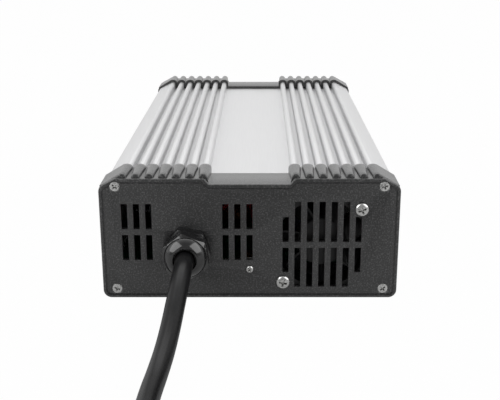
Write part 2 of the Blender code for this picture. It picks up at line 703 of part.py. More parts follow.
def make_caps():
    front = end_cap("front_end_cap", -1)
    vents = bmesh.new()
    slot_boxes(vents, LEFT_VENT_X, VENT_COLUMNS, SLOT_PITCH, SLOT_ROWS, -1)
    slot_boxes(vents, MIDDLE_VENT_X, VENT_COLUMNS, SLOT_PITCH, SLOT_ROWS, -1)
    grille_boxes(vents)
    cut(front, tool("front_vents", mesh_of(vents, "front_vents")))
    holes = bmesh.new()
    plate = (-HALF_LENGTH - OVERSHOOT, -PLATE_BACK + OVERSHOOT)
    rod(GLAND_X, GLAND_Z, GLAND_THREAD_RADIUS + CLEAR, *plate, sides=24, into=holes)
    for x, z in fan_screw_places():
        rod(x, z, FAN_SCREW_RADIUS + CLEAR, *plate, sides=12, into=holes)
    rod(PANEL_SCREW_X, PANEL_SCREW_Z, SCREW_RADIUS + CLEAR, *plate, sides=12, into=holes)
    cut(front, tool("front_holes", mesh_of(holes, "front_holes")))

    rear = end_cap("rear_end_cap", 1)
    vents = bmesh.new()
    slot_boxes(vents, REAR_VENT_X, REAR_VENT_COLUMNS, SLOT_PITCH, SLOT_ROWS, 1)
    cut(rear, tool("rear_vents", mesh_of(vents, "rear_vents")))
    plate = (PLATE_BACK - OVERSHOOT, HALF_LENGTH + OVERSHOOT)
    opening = inlet_outline(INLET_BODY[0] + 2 * CLEAR, INLET_BODY[1] + 2 * CLEAR, INLET_CHAMFER)
    cut(rear, tool("inlet_opening", mesh_of(prism(opening, *plate), "inlet_opening")))
    holes = bmesh.new()
    for z in LIGHT_HEIGHTS:
        rod(LIGHT_X, z, LIGHT_RADIUS + CLEAR, *plate, sides=12, into=holes)
    cut(rear, tool("light_holes", mesh_of(holes, "light_holes")))


# Extruded case

def make_shell():
    """Ribbed outside, hollow inside, with screw ports in the corners and ledges that hold the board."""
    shell = add("case_shell", mesh_of(prism(shell_outline(), -SHELL_END, SHELL_END), "case_shell"), ALUMINIUM)
    far = SHELL_END + OVERSHOOT
    hollow = tool(
        "shell_hollow",
        mesh_of(box((-HALF_INSIDE, -far, FLOOR_INSIDE), (HALF_INSIDE, far, CEILING_INSIDE)), "shell_hollow"),
    )
    kept = bmesh.new()
    further = far + OVERSHOOT
    for x, z in corner_places():
        rod(x, z, PORT_RADIUS, -further, further, sides=16, into=kept)
    under = BOARD_UNDER - CLEAR
    over = BOARD_TOP + CLEAR
    for hand in (-1, 1):
        inner, outer = hand * (HALF_INSIDE - LEDGE_REACH), hand * (HALF_INSIDE + OVERSHOOT)
        low_x, high_x = min(inner, outer), max(inner, outer)
        box((low_x, -further, under - LEDGE_THICK), (high_x, further, under), into=kept)
        box((low_x, -further, over), (high_x, further, over + LEDGE_THICK), into=kept)
    cut(hollow, tool("ports_and_ledges", mesh_of(kept, "ports_and_ledges")))
    cut(shell, hollow)
    bores = bmesh.new()
    for x, z in corner_places():
        rod(x, z, SCREW_RADIUS + CLEAR, -further, further, sides=12, into=bores)
    cut(shell, tool("port_bores", mesh_of(bores, "port_bores")))


# Screws

def cross_recess(name, reach, depth):
    """A tapered cross for the driver."""
    def cross(arm, thick, z):
        a, t = arm, thick / 2
        corners = ((a, t), (t, t), (t, a), (-t, a), (-t, t), (-a, t))
        both = [*corners, *((-x, -y) for x, y in corners)]
        return [(x, y, z) for x, y in both]

    rows = (cross(reach * 1.15, reach * 0.42, depth * 0.3), cross(reach * 0.45, reach * 0.30, -depth))
    return tool(name, mesh_of(loft(rows), name))


def screw_mesh(name, profile, reach, depth, head_top):
    blank = turned(f"{name}_blank", profile, None, steps=12)
    driver = cross_recess(f"{name}_cross", reach, depth)
    driver.location.z = head_top
    cut(blank, driver)
    mesh = baked(blank)
    bpy.data.objects.remove(driver, do_unlink=True)
    mesh.name = name
    mesh.materials.clear()
    mesh.materials.append(STEEL)
    return mesh


def make_screws():
    r = SCREW_RADIUS
    flush = CLEAR / 2
    countersunk = screw_mesh(
        "countersunk_screw",
        [
            (0, flush), (SCREW_HEAD_RADIUS, flush), (SCREW_HEAD_RADIUS, -CLEAR), (r, -SCREW_HEAD_DEPTH),
            (r, 2 * r - SCREW_LENGTH), (0, -SCREW_LENGTH),
        ],
        0.6 * SCREW_HEAD_RADIUS, 0.6 * SCREW_HEAD_DEPTH, flush,
    )
    for end, side in (("front", -1), ("rear", 1)):
        for i, (x, z) in enumerate(corner_places(), 1):
            screw = add(f"{end}_screw_{i}", countersunk, STEEL)
            screw.matrix_world = facing(x, side * PANEL_FACE, z, side)

    fan_screw = pan_head("fan_screw", FAN_SCREW_HEAD_RADIUS, PAN_HEAD_RISE, FAN_SCREW_RADIUS, FAN_SCREW_LENGTH)
    for i, (x, z) in enumerate(fan_screw_places(), 1):
        add(f"fan_screw_{i}", fan_screw, STEEL).matrix_world = facing(x, -PANEL_FACE, z, -1)
    small = pan_head(
        "panel_screw", PANEL_SCREW_HEAD_RADIUS, PANEL_SCREW_HEAD_RISE, SCREW_RADIUS, PANEL_SCREW_LENGTH
    )
    screw = add("panel_screw", small, STEEL)
    screw.matrix_world = facing(PANEL_SCREW_X, -PANEL_FACE, PANEL_SCREW_Z, -1)


def pan_head(name, head, rise, shank, length):
    """A raised round head whose underside is just clear of the panel."""
    bend = rise - CLEAR
    dome = [(head * sin(radians(a)), CLEAR + bend * cos(radians(a))) for a in (28, 52, 74, 90)]
    profile = [(0, rise), *dome, (shank, CLEAR), (shank, shank - length), (0, -length)]
    return screw_mesh(name, profile, 0.62 * head, 0.6 * rise, rise)


# Fan

def rounded_square(x, z, size, radius):
    h = size / 2 - radius
    outline = []
    for i, (sx, sz) in enumerate(((1, -1), (1, 1), (-1, 1), (-1, -1))):
        outline += arc((x + sx * h, z + sz * h), radius, -90 + 90 * i, 90 * i, 3)
    return outline


def make_fan_frame():
    """Square frame: two flanges on a round duct, a motor plate on four struts, and the bearing post."""
    square = rounded_square(FAN_X, FAN_Z, FAN_SIZE, FAN_CORNER_RADIUS)
    duct_outside = FAN_SIZE / 2 - CLEAR
    frame = add("fan_frame", mesh_of(prism(square, FAN_FRONT, FAN_FRONT + FAN_FLANGE), "fan_frame"), FAN_PLASTIC)
    rear = prism(square, FAN_BACK - FAN_FLANGE, FAN_BACK)
    join(frame, tool("fan_rear_flange", mesh_of(rear, "fan_rear_flange")))
    lap = FAN_FLANGE / 2
    duct = rod(FAN_X, FAN_Z, duct_outside, FAN_FRONT + lap, FAN_BACK - lap, sides=32)
    join(frame, tool("fan_duct", mesh_of(duct, "fan_duct")))
    ends = (FAN_FRONT - OVERSHOOT, FAN_BACK + OVERSHOOT)
    cut(frame, tool("fan_bore", mesh_of(rod(FAN_X, FAN_Z, FAN_DUCT_RADIUS, *ends, sides=32), "fan_bore")))
    holes = bmesh.new()
    reach = FAN_HOLE_PITCH / 2
    for sx in (-1, 1):
        for sz in (-1, 1):
            at = (FAN_X + sx * reach, FAN_Z + sz * reach)
            rod(*at, FAN_SCREW_RADIUS + CLEAR, *ends, sides=12, into=holes)
    cut(frame, tool("fan_holes", mesh_of(holes, "fan_holes")))
    struts = bmesh.new()
    for i in range(STRUT_COUNT):
        beam = bmesh.new()
        reach = FAN_DUCT_RADIUS + CLEAR
        depth = FAN_MOUNT_PLATE - CLEAR
        box((HUB_RADIUS / 2, CLEAR, -STRUT_WIDTH / 2), (reach, depth, STRUT_WIDTH / 2), into=beam)
        turn = Matrix.Rotation(2 * pi * (i + 0.5) / STRUT_COUNT, 4, "Y")
        place = Matrix.Translation((FAN_X, FAN_BACK - FAN_MOUNT_PLATE, FAN_Z)) @ turn
        bmesh.ops.transform(beam, matrix=place, verts=beam.verts[:])
        made = bpy.data.meshes.new("strut")
        beam.to_mesh(made)
        beam.free()
        struts.from_mesh(made)
    join(frame, tool("fan_struts", mesh_of(struts, "fan_struts")))
    post_top = FAN_DEPTH - HUB_INSET - HUB_WALL - 2 * CLEAR
    bore = SHAFT_RADIUS + CLEAR
    profile = [
        (bore, post_top), (POST_RADIUS, post_top), (POST_RADIUS, FAN_MOUNT_PLATE + CLEAR),
        (HUB_RADIUS - HUB_WALL, FAN_MOUNT_PLATE), (HUB_RADIUS - HUB_WALL, 0), (bore, 0),
    ]
    plate = turned("fan_motor_plate", profile, None, facing(FAN_X, FAN_BACK, FAN_Z, -1), 24, closed=True)
    join(frame, plate)


def blade_rings(turn):
    """One blade: a cambered plate whose pitch eases towards its tip."""
    tip = FAN_DUCT_RADIUS - BLADE_TIP_GAP
    root = HUB_RADIUS - HUB_WALL / 2
    front = FAN_FRONT + HUB_INSET + CLEAR
    depth = HUB_DEPTH - 2 * CLEAR
    rings = []
    for k in range(4):
        radius = root + (tip - root) * k / 3
        sweep = radians(10) * k / 3
        spread = BLADE_SPREAD * (1 - 0.12 * k)
        ring = []
        for s, lift in ((0, 0), (1 / 3, 0), (2 / 3, 0), (1, 0), (1, 1), (2 / 3, 1), (1 / 3, 1), (0, 1)):
            camber = 0.10 * sin(pi * s)
            a = turn + sweep + spread * (s + camber) + lift * BLADE_THICK / radius
            y = front + depth * s
            ring.append((FAN_X + radius * cos(a), y, FAN_Z + radius * sin(a)))
        rings.append(ring)
    return rings


def make_fan_rotor():
    """Hub cup with its shaft, and the blades round it."""
    top = FAN_DEPTH - HUB_INSET
    rim = top - HUB_DEPTH
    shaft_end = 2 * CLEAR
    wall = HUB_RADIUS - HUB_WALL
    edge = HUB_RADIUS - HUB_WALL / 2
    profile = [
        (0, top), (edge, top), (HUB_RADIUS, top - HUB_WALL / 2), (HUB_RADIUS, rim), (wall, rim),
        (wall, top - HUB_WALL), (SHAFT_RADIUS, top - HUB_WALL), (SHAFT_RADIUS, shaft_end), (0, shaft_end),
    ]
    rotor = turned("fan_rotor", profile, FAN_PLASTIC, facing(FAN_X, FAN_BACK, FAN_Z, -1), 28)
    for i in range(BLADE_COUNT):
        blade = loft(blade_rings(2 * pi * i / BLADE_COUNT))
        join(rotor, tool(f"blade_{i}", mesh_of(blade, "blade")))


def make_fan_stator():
    """The motor's coils on their core, pressed on the bearing post inside the hub."""
    low = FAN_MOUNT_PLATE + 2 * CLEAR
    high = FAN_DEPTH - HUB_INSET - HUB_WALL - 4 * CLEAR
    inner = POST_RADIUS + CLEAR
    waist = STATOR_RADIUS * 0.72
    third = (high - low) / 3
    profile = [
        (inner, high), (STATOR_RADIUS, high), (STATOR_RADIUS, high - third / 2), (waist, high - third),
        (waist, low + third), (STATOR_RADIUS, low + third / 2), (STATOR_RADIUS, low), (inner, low),
    ]
    turned("fan_stator", profile, COPPER, facing(FAN_X, FAN_BACK, FAN_Z, -1), 16, closed=True)


# Cable gland

def hexagon(flats, turn):
    corner = flats / 2 / cos(radians(30))
    return [(corner * cos(turn + radians(60 * i)), corner * sin(turn + radians(60 * i))) for i in range(6)]


def hex_prism(flats, turn, start, end):
    outline = [(GLAND_X + x, GLAND_Z + z) for x, z in hexagon(flats, turn)]
    return prism(outline, start, end)


def make_gland():
    """Body through the front plate, lock nut behind it, dome nut in front, and the seal that grips the lead."""
    face = -PANEL_FACE - CLEAR
    flange_end = face - GLAND_FLANGE
    spigot_end = flange_end - SPIGOT_LENGTH
    inner_end = -PANEL_FACE + GLAND_INNER_LENGTH
    lead_bore = LEAD_RADIUS + CLEAR
    body = add("gland_body", mesh_of(hex_prism(GLAND_FLATS, BODY_TURN, flange_end, face), "gland_body"), NYLON)
    sleeve = bmesh.new()
    rod(GLAND_X, GLAND_Z, SPIGOT_RADIUS, spigot_end, flange_end + OVERSHOOT, sides=24, into=sleeve)
    join(body, tool("gland_spigot", mesh_of(sleeve, "gland_spigot")))
    barrel = rod(GLAND_X, GLAND_Z, GLAND_THREAD_RADIUS, face - OVERSHOOT, inner_end, sides=24)
    join(body, tool("gland_barrel", mesh_of(barrel, "gland_barrel")))
    bore = rod(GLAND_X, GLAND_Z, lead_bore, spigot_end - OVERSHOOT, inner_end + OVERSHOOT, sides=16)
    cut(body, tool("gland_bore", mesh_of(bore, "gland_bore")))

    nut_back = flange_end - CLEAR
    hex_front = nut_back - NUT_HEX_LENGTH
    mouth = hex_front - NUT_DOME_LENGTH
    blank = hex_prism(GLAND_FLATS, NUT_TURN, mouth, nut_back)
    nut = add("gland_dome_nut", mesh_of(blank, "gland_dome_nut"), NYLON)
    corner = GLAND_FLATS / 2 / cos(radians(30))
    chamfer = (corner - NUT_RING_RADIUS) * tan(NUT_CHAMFER_ANGLE)
    dome = [
        (NUT_RING_RADIUS - (NUT_RING_RADIUS - NUT_MOUTH_RADIUS) * (1 - cos(radians(a))) * 1.35,
         NUT_HEX_LENGTH + NUT_DOME_LENGTH * sin(radians(a)))
        for a in (60, 35, 15)
    ]
    tall = NUT_HEX_LENGTH + NUT_DOME_LENGTH
    profile = [
        (0, tall), (NUT_MOUTH_RADIUS + NUT_MOUTH_LAND, tall), *dome, (NUT_RING_RADIUS, NUT_HEX_LENGTH),
        (corner + CLEAR, NUT_HEX_LENGTH - chamfer), (corner + CLEAR, -OVERSHOOT), (0, -OVERSHOOT),
    ]
    form = turned("nut_form", profile, None, facing(GLAND_X, nut_back, GLAND_Z, -1), 24)
    combine(nut, form, "INTERSECT")
    seal_end = spigot_end - CLEAR - SEAL_GRIP
    thread = rod(GLAND_X, GLAND_Z, SPIGOT_RADIUS + CLEAR, seal_end - CLEAR, nut_back + OVERSHOOT, sides=24)
    cut(nut, tool("nut_thread", mesh_of(thread, "nut_thread")))
    hole = rod(GLAND_X, GLAND_Z, NUT_MOUTH_RADIUS, mouth - OVERSHOOT, seal_end, sides=24)
    cut(nut, tool("nut_mouth", mesh_of(hole, "nut_mouth")))

    lip = NUT_MOUTH_RADIUS - CLEAR
    start = -(spigot_end - CLEAR) + nut_back
    step = -seal_end + nut_back
    lip_end = -(mouth + SEAL_SETBACK) + nut_back
    profile = [
        (lead_bore, lip_end), (lip, lip_end), (lip, step), (SPIGOT_RADIUS, step), (SPIGOT_RADIUS, start),
        (lead_bore, start),
    ]
    turned("gland_seal", profile, RUBBER, facing(GLAND_X, nut_back, GLAND_Z, -1), 20, closed=True)

    back = -PLATE_BACK + CLEAR
    nut_mesh = mesh_of(hex_prism(GLAND_FLATS, 0.0, back, back + LOCKNUT_THICK), "gland_locknut")
    locknut = add("gland_locknut", nut_mesh, NYLON)
    bore = rod(
        GLAND_X, GLAND_Z, GLAND_THREAD_RADIUS + CLEAR, back - OVERSHOOT, back + LOCKNUT_THICK + OVERSHOOT, sides=24
    )
    cut(locknut, tool("locknut_bore", mesh_of(bore, "locknut_bore")))


# Output lead: the stretch to its coil, the coil, and the connector

LEAD_ROUTE = [
    (GLAND_X, -PLATE_BACK + LEAD_INNER_END, GLAND_Z),
    (GLAND_X, -HALF_LENGTH, GLAND_Z),
    (GLAND_X, GLAND_MOUTH, GLAND_Z),
    *((GLAND_X + aside, GLAND_MOUTH - forward, height) for aside, forward, height in LEAD_FALL),
    (COIL_X - COIL_OUTER_TURN, COIL_Y + 2 * sqrt(COIL_OUTER_TURN * LEAD_RADIUS) + CLEAR, LEAD_FALL[-1][2]),
]


def make_lead():
    wire("output_lead", LEAD_ROUTE, LEAD_RADIUS, CABLE_JACKET)
    inner = COIL_INNER_TURN - LEAD_RADIUS
    outer = COIL_OUTER_TURN + LEAD_RADIUS
    soft = LEAD_RADIUS * 0.7
    profile = [
        (inner + soft, COIL_HEIGHT), (outer - soft, COIL_HEIGHT), (outer, COIL_HEIGHT - soft), (outer, soft),
        (outer - soft, 0), (inner + soft, 0), (inner, soft), (inner, COIL_HEIGHT - soft),
    ]
    turned("lead_coil", profile, CABLE_JACKET, Matrix.Translation((COIL_X, COIL_Y, 0)), 28, closed=True)

    reach = outer + CLEAR + CONNECTOR_RADIUS
    place = (
        Matrix.Translation((COIL_X, COIL_Y, CONNECTOR_RADIUS + CLEAR / 3))
        @ Matrix.Rotation(CONNECTOR_TURN, 4, "Z")
        @ Matrix.Translation((reach, -BOOT_LENGTH, 0))
        @ Matrix.Rotation(-pi / 2, 4, "X")
    )
    neck = BOOT_NECK_RADIUS
    boot = [
        (0, BOOT_LENGTH), (BOOT_RADIUS, BOOT_LENGTH), (BOOT_RADIUS, 0.7 * BOOT_LENGTH),
        (neck + 0.3 * (BOOT_RADIUS - neck), 0.3 * BOOT_LENGTH), (neck, 0), (0, 0),
    ]
    turned("connector_boot", boot, RUBBER, place, 14)
    low = BOOT_LENGTH + CLEAR
    high = low + CONNECTOR_LENGTH
    r = CONNECTOR_RADIUS
    floor = high - CONNECTOR_CAVITY
    nose = r - CONNECTOR_NOSE_STEP
    step = high - CONNECTOR_NOSE_LENGTH
    shell = [
        (INSERT_RADIUS + CLEAR, high), (nose, high), (nose, step), (r, step - CONNECTOR_NOSE_STEP),
        (r, low + 2 * CONNECTOR_REAR_ROUND), (r - CONNECTOR_REAR_ROUND, low), (0, low), (0, floor),
        (INSERT_RADIUS + CLEAR, floor),
    ]
    turned("connector_shell", shell, STEEL, place, 16, closed=True)
    base = floor + CLEAR
    front = high - INSERT_SETBACK
    profile = [(0, front), (INSERT_RADIUS, front), (INSERT_RADIUS, base), (0, base)]
    insert = turned("connector_insert", profile, NYLON, place, 16)
    sockets = bmesh.new()
    for a in circle(CONTACT_COUNT):
        spot = Matrix.Translation((CONTACT_CIRCLE * cos(a), CONTACT_CIRCLE * sin(a), front))
        bmesh.ops.create_cone(
            sockets, cap_ends=True, segments=10, radius1=CONTACT_HOLE_RADIUS, radius2=CONTACT_HOLE_RADIUS,
            depth=2 * CONTACT_HOLE_DEPTH, matrix=spot,
        )
    holes = tool("contact_holes", mesh_of(sockets, "contact_holes"))
    holes.matrix_world = place
    cut(insert, holes)


# Mains inlet and status lights

def inlet_outline(width, height, chamfer):
    """A rectangle whose two upper corners are cut off, about the inlet's centre."""
    x, z = width / 2, height / 2
    half = [(x, -z), (x, z - chamfer), (x - chamfer, z)]
    return [(INLET_X + a, INLET_Z + b) for a, b in mirrored(half)]


def pin_places():
    return {
        "line": (INLET_X - PIN_SPACING / 2, INLET_Z - PIN_RAISE),
        "neutral": (INLET_X + PIN_SPACING / 2, INLET_Z - PIN_RAISE),
        "earth": (INLET_X, INLET_Z + PIN_RAISE),
    }


def make_inlet():
    """A snap-in appliance inlet: flange on the panel, body through the plate, three flat pins in its socket."""
    face = PANEL_FACE + CLEAR
    front = face + INLET_FLANGE_THICK
    back = face - INLET_DEPTH
    w, h = INLET_FLANGE
    corners = ((w / 2, -h / 2), (w / 2, h / 2), (-w / 2, h / 2), (-w / 2, -h / 2))
    flange = [(INLET_X + a, INLET_Z + b) for a, b in corners]
    bm = prism(flange, face, front)
    upright = [e for e in bm.edges if abs(e.verts[0].co.y - e.verts[1].co.y) > CLEAR]
    bmesh.ops.bevel(bm, geom=upright, offset=INLET_FLANGE_ROUND, affect="EDGES", segments=3, profile=0.5)
    inlet = add("inlet_body", mesh_of(bm, "inlet_body"), NYLON)
    barrel = prism(inlet_outline(*INLET_BODY, INLET_CHAMFER), back, face + INLET_FLANGE_THICK / 2)
    join(inlet, tool("inlet_barrel", mesh_of(barrel, "inlet_barrel")))
    socket = prism(inlet_outline(*INLET_SOCKET, INLET_CHAMFER), front - INLET_SOCKET_DEPTH, front + OVERSHOOT)
    cut(inlet, tool("inlet_socket", mesh_of(socket, "inlet_socket")))
    passages = bmesh.new()
    half_x, half_z = PIN_SECTION[0] / 2, PIN_SECTION[1] / 2
    for x, z in pin_places().values():
        low = (x - half_x - CLEAR, back - OVERSHOOT, z - half_z - CLEAR)
        high = (x + half_x + CLEAR, front - INLET_SOCKET_DEPTH + OVERSHOOT, z + half_z + CLEAR)
        box(low, high, into=passages)
    cut(inlet, tool("pin_passages", mesh_of(passages, "pin_passages")))
    for name, (x, z) in pin_places().items():
        low = (x - half_x, back - PIN_TAB, z - half_z)
        high = (x + half_x, front - PIN_SETBACK, z + half_z)
        pin = box(low, high)
        tip = [e for e in pin.edges if all(abs(v.co.y - high[1]) < CLEAR for v in e.verts)]
        bmesh.ops.bevel(pin, geom=tip, offset=PIN_BEVEL, affect="EDGES", segments=1, profile=0.5)
        add(f"inlet_pin_{name}", mesh_of(pin, "pin"), BRASS)


def make_lights():
    """Two status lights behind holes in the rear cap, on one small board of their own."""
    r = LIGHT_RADIUS
    collar = r + LIGHT_COLLAR[0]
    collar_thick = LIGHT_COLLAR[1]
    profile = [
        (0, PLATE + LIGHT_DOME), (0.5 * r, PLATE + 0.85 * LIGHT_DOME), (0.85 * r, PLATE + 0.45 * LIGHT_DOME),
        (r, PLATE - PANEL_SINK), (r, -CLEAR), (collar, -CLEAR), (collar, -CLEAR - collar_thick),
        (r, -CLEAR - collar_thick), (r, -LIGHT_BODY_LENGTH), (0, -LIGHT_BODY_LENGTH),
    ]
    for name, finish, z in zip(("charge_light", "power_light"), (GREEN_LENS, RED_LENS), LIGHT_HEIGHTS):
        turned(name, profile, finish, facing(LIGHT_X, PLATE_BACK, z, 1), 10)
    width, thick, height = LIGHT_BOARD
    y = PLATE_BACK - LIGHT_BODY_LENGTH - CLEAR
    middle = sum(LIGHT_HEIGHTS) / 2
    low = (LIGHT_X - width / 2, y - thick, middle - height / 2)
    high = (LIGHT_X + width / 2, y, middle + height / 2)
    board = box(low, high)
    add("light_board", mesh_of(board, "light_board"), BOARD_GREEN)


# Circuit board and its components

def on_board(place):
    """A spot on the board from its shares of the board's half width and half length."""
    return place[0] * BOARD_HALF_WIDTH, BOARD_MIDDLE + place[1] * BOARD_HALF_LENGTH


def in_row(x, middle, pitch, count):
    """Spots in a row along the board."""
    return [(x, middle + (i - (count - 1) / 2) * pitch) for i in range(count)]


def standing_box(name, place, size, finish):
    x, y = place
    low = (x - size[0] / 2, y - size[1] / 2, STAND)
    high = (x + size[0] / 2, y + size[1] / 2, STAND + size[2])
    return add(name, mesh_of(box(low, high), name), finish)


def make_board():
    half = BOARD_HALF_WIDTH
    board = box((-half, BOARD_FRONT, BOARD_UNDER), (half, BOARD_REAR, BOARD_TOP))
    add("circuit_board", mesh_of(board, "circuit_board"), BOARD_GREEN)

    back = -SHELL_END
    half = BRACKET_WIDTH / 2
    x = PANEL_SCREW_X
    rise = PANEL_SCREW_Z + BRACKET_RISE
    outline = [
        (back, STAND), (back + BRACKET_REACH, STAND), (back + BRACKET_REACH, STAND + BRACKET_THICK),
        (back + BRACKET_THICK, STAND + BRACKET_THICK), (back + BRACKET_THICK, rise), (back, rise),
    ]
    near = [(x - half, y, z) for y, z in outline]
    far = [(x + half, y, z) for y, z in outline]
    bracket = add("board_bracket", mesh_of(loft([near, far]), "board_bracket"), STEEL)
    hole = rod(x, PANEL_SCREW_Z, SCREW_RADIUS + CLEAR, back - OVERSHOOT, back + BRACKET_THICK + OVERSHOOT, sides=12)
    cut(bracket, tool("bracket_hole", mesh_of(hole, "bracket_hole")))


def make_heat_sinks():
    """Finned bars along both sides of the board, each with its power transistors."""
    pitch = SINK_HEIGHT / SINK_FINS
    root = SINK_X + SINK_BASE
    tip = root + SINK_FIN_REACH
    outline = [(SINK_X, STAND), (root, STAND)]
    for i in range(SINK_FINS):
        top = STAND + pitch * (i + 1)
        outline += [(root, top - SINK_FIN_THICK), (tip, top - SINK_FIN_THICK), (tip, top), (root, top)]
    outline[-1] = (SINK_X, top)
    for hand, side in ((-1, "left"), (1, "right")):
        bar = prism([(hand * x, z) for x, z in outline], -SINK_LENGTH / 2, SINK_LENGTH / 2)
        add(f"heat_sink_{side}", mesh_of(bar, "heat_sink"), SINK_METAL)
        wide, long, high = TRANSISTOR
        for i, y in enumerate(TRANSISTOR_PLACES, 1):
            place = (hand * (SINK_X - CLEAR - wide / 2), y)
            standing_box(f"transistor_{side}_{i}", place, (wide, long, high), EPOXY)


def make_transformer():
    """An E-core with its tape-wrapped winding round the middle leg."""
    w, d, h = CORE_SIZE
    core = standing_box("transformer_core", (CORE_X, CORE_Y), CORE_SIZE, FERRITE)
    windows = bmesh.new()
    low_z, high_z = STAND + CORE_YOKE, STAND + h - CORE_YOKE
    for hand in (-1, 1):
        near, far = hand * CORE_LEG / 2, hand * (w / 2 - CORE_SIDE_LEG)
        low = (CORE_X + min(near, far), CORE_Y - d, low_z)
        high = (CORE_X + max(near, far), CORE_Y + d, high_z)
        box(low, high, into=windows)
    cut(core, tool("core_windows", mesh_of(windows, "core_windows")))
    half_x = w / 2 - CORE_SIDE_LEG - CLEAR
    half_y = WINDING_DEPTH / 2
    low, high = low_z + CLEAR, high_z - CLEAR
    coil = box((CORE_X - half_x, CORE_Y - half_y, low), (CORE_X + half_x, CORE_Y + half_y, high))
    upright = [e for e in coil.edges if abs(e.verts[0].co.z - e.verts[1].co.z) > CLEAR]
    bmesh.ops.bevel(coil, geom=upright, offset=half_x / 3, affect="EDGES", segments=3, profile=0.5)
    winding = add("transformer_winding", mesh_of(coil, "transformer_winding"), TAPE)
    leg = CORE_LEG / 2 + CLEAR
    core_half = d / 2 + CLEAR
    gap_low = (CORE_X - leg, CORE_Y - core_half, low - CORE_YOKE)
    gap_high = (CORE_X + leg, CORE_Y + core_half, high + CORE_YOKE)
    cut(winding, tool("winding_bore", mesh_of(box(gap_low, gap_high), "winding_bore")))


def capacitor(name, place, radius, height, steps):
    """A can with the rolled groove of its rubber bung near the foot."""
    groove = radius * 0.93
    profile = [
        (0, height), (radius * 0.9, height), (radius, height - radius * 0.1), (radius, 0.0040),
        (groove, 0.0034), (groove, 0.0028), (radius, 0.0022), (radius, 0), (0, 0),
    ]
    turned(name, profile, SLEEVE, Matrix.Translation((*place, STAND)), steps)


def toroid(name, place, radii, finish):
    major, minor = radii
    profile = [(major + minor * cos(a), minor * sin(a)) for a in (-2 * pi * i / 8 + pi / 8 for i in range(8))]
    height = STAND + minor * cos(pi / 8)
    turned(name, profile, finish, Matrix.Translation((*place, height)), 18, closed=True)


def make_components():
    bulk_row = in_row(BULK_X, BOARD_MIDDLE + BULK_ALONG * BOARD_HALF_LENGTH, BULK_PITCH, BULK_COUNT)
    for i, place in enumerate(bulk_row, 1):
        capacitor(f"bulk_capacitor_{i}", place, BULK_RADIUS, BULK_HEIGHT, 16)
    output_row = reversed(in_row(*on_board(OUTPUT_PLACE), OUTPUT_PITCH, OUTPUT_COUNT))
    for i, place in enumerate(output_row, 1):
        capacitor(f"output_capacitor_{i}", place, OUTPUT_RADIUS, OUTPUT_HEIGHT, 10)
    toroid("output_inductor", on_board(INDUCTOR_PLACE), INDUCTOR_RADII, COPPER)
    toroid("mains_filter_choke", on_board(CHOKE_PLACE), CHOKE_RADII, COPPER)
    standing_box("film_capacitor", on_board(FILM_PLACE), FILM_SIZE, FILM)
    standing_box("output_relay", on_board(RELAY_PLACE), RELAY_SIZE, EPOXY)
    x, y = on_board(FUSE_PLACE)
    cap = FUSE_LENGTH / 4
    r = FUSE_RADIUS
    half = FUSE_LENGTH / 2
    profile = [(0, half), (r, half), (r, half - cap), (0.9 * r, half - cap), (0.9 * r, cap - half), (r, cap - half)]
    profile += [(r, -half), (0, -half)]
    turned("fuse", profile, GLASS, facing(x, y, STAND + r, 1), 10)


def make_wires():
    """Leads inside the case: output cores, fan, mains and lights."""
    start = -PLATE_BACK + LEAD_INNER_END + 1.5 * CLEAR
    apart = POWER_WIRE_RADIUS + CLEAR
    for name, hand, straight, route, finish in (
        ("positive_wire", 1, POSITIVE_STRAIGHT, POSITIVE_ROUTE, RED),
        ("negative_wire", -1, NEGATIVE_STRAIGHT, NEGATIVE_ROUTE, BLACK),
    ):
        spots = [(hand * apart, 0, GLAND_Z), (hand * apart, straight, GLAND_Z), *route]
        spots = [(GLAND_X + x, start + y, STAND if z is None else z) for x, y, z in spots]
        wire(name, spots, POWER_WIRE_RADIUS, finish)

    fan_end = (FAN_LEFT + FAN_LEAD_IN[0], FAN_BACK + CLEAR, FAN_Z + FAN_SIZE / 2 - FAN_LEAD_IN[1])
    falling_wire("fan_lead", fan_end, FAN_LEAD_ROUTE, 1)
    light_end = (
        LIGHT_X, PLATE_BACK - LIGHT_BODY_LENGTH - 2 * CLEAR - LIGHT_BOARD[1], sum(LIGHT_HEIGHTS) / len(LIGHT_HEIGHTS)
    )
    falling_wire("light_lead", light_end, LIGHT_LEAD_ROUTE, -1)

    tab_end = PANEL_FACE + CLEAR - INLET_DEPTH - PIN_TAB - CLEAR
    finishes = {"line": BROWN, "neutral": BLUE, "earth": EARTH}
    for name, (x, z) in pin_places().items():
        route = [(x, tab_end, z), *((x, tab_end - back, z - down) for back, down in MAINS_WIRE_ROUTE)]
        wire(f"{name}_wire", [*route, (x, tab_end - MAINS_WIRE_REACH, STAND)], POWER_WIRE_RADIUS, finishes[name])


def falling_wire(name, end, route, side):
    """A thin lead from its end down to the board."""
    x, y, z = end
    spots = [(x + aside, y + side * along, z - share * (z - STAND)) for aside, along, share in route]
    wire(name, spots, SIGNAL_WIRE_RADIUS, BLACK)


make_shell()
make_caps()
make_screws()
make_fan_frame()
make_fan_rotor()
make_fan_stator()
make_gland()
make_lead()
make_inlet()
make_lights()
make_board()
make_heat_sinks()
make_transformer()
make_components()
make_wires()

for piece in PARTS.objects:
    if piece.type == "MESH" and piece.modifiers and piece.modifiers[0].type == "SCREW":
        piece.modifiers[0].use_smooth_shade = True
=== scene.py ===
"""The looks of a fan-cooled battery charger: a finned aluminium case between two moulded end caps, with vents,
a fan behind its grille, and a cable gland whose black lead lies coiled on the floor."""

import bmesh
import bpy
from math import cos, pi, radians, sin, tan
from mathutils import Matrix, Vector


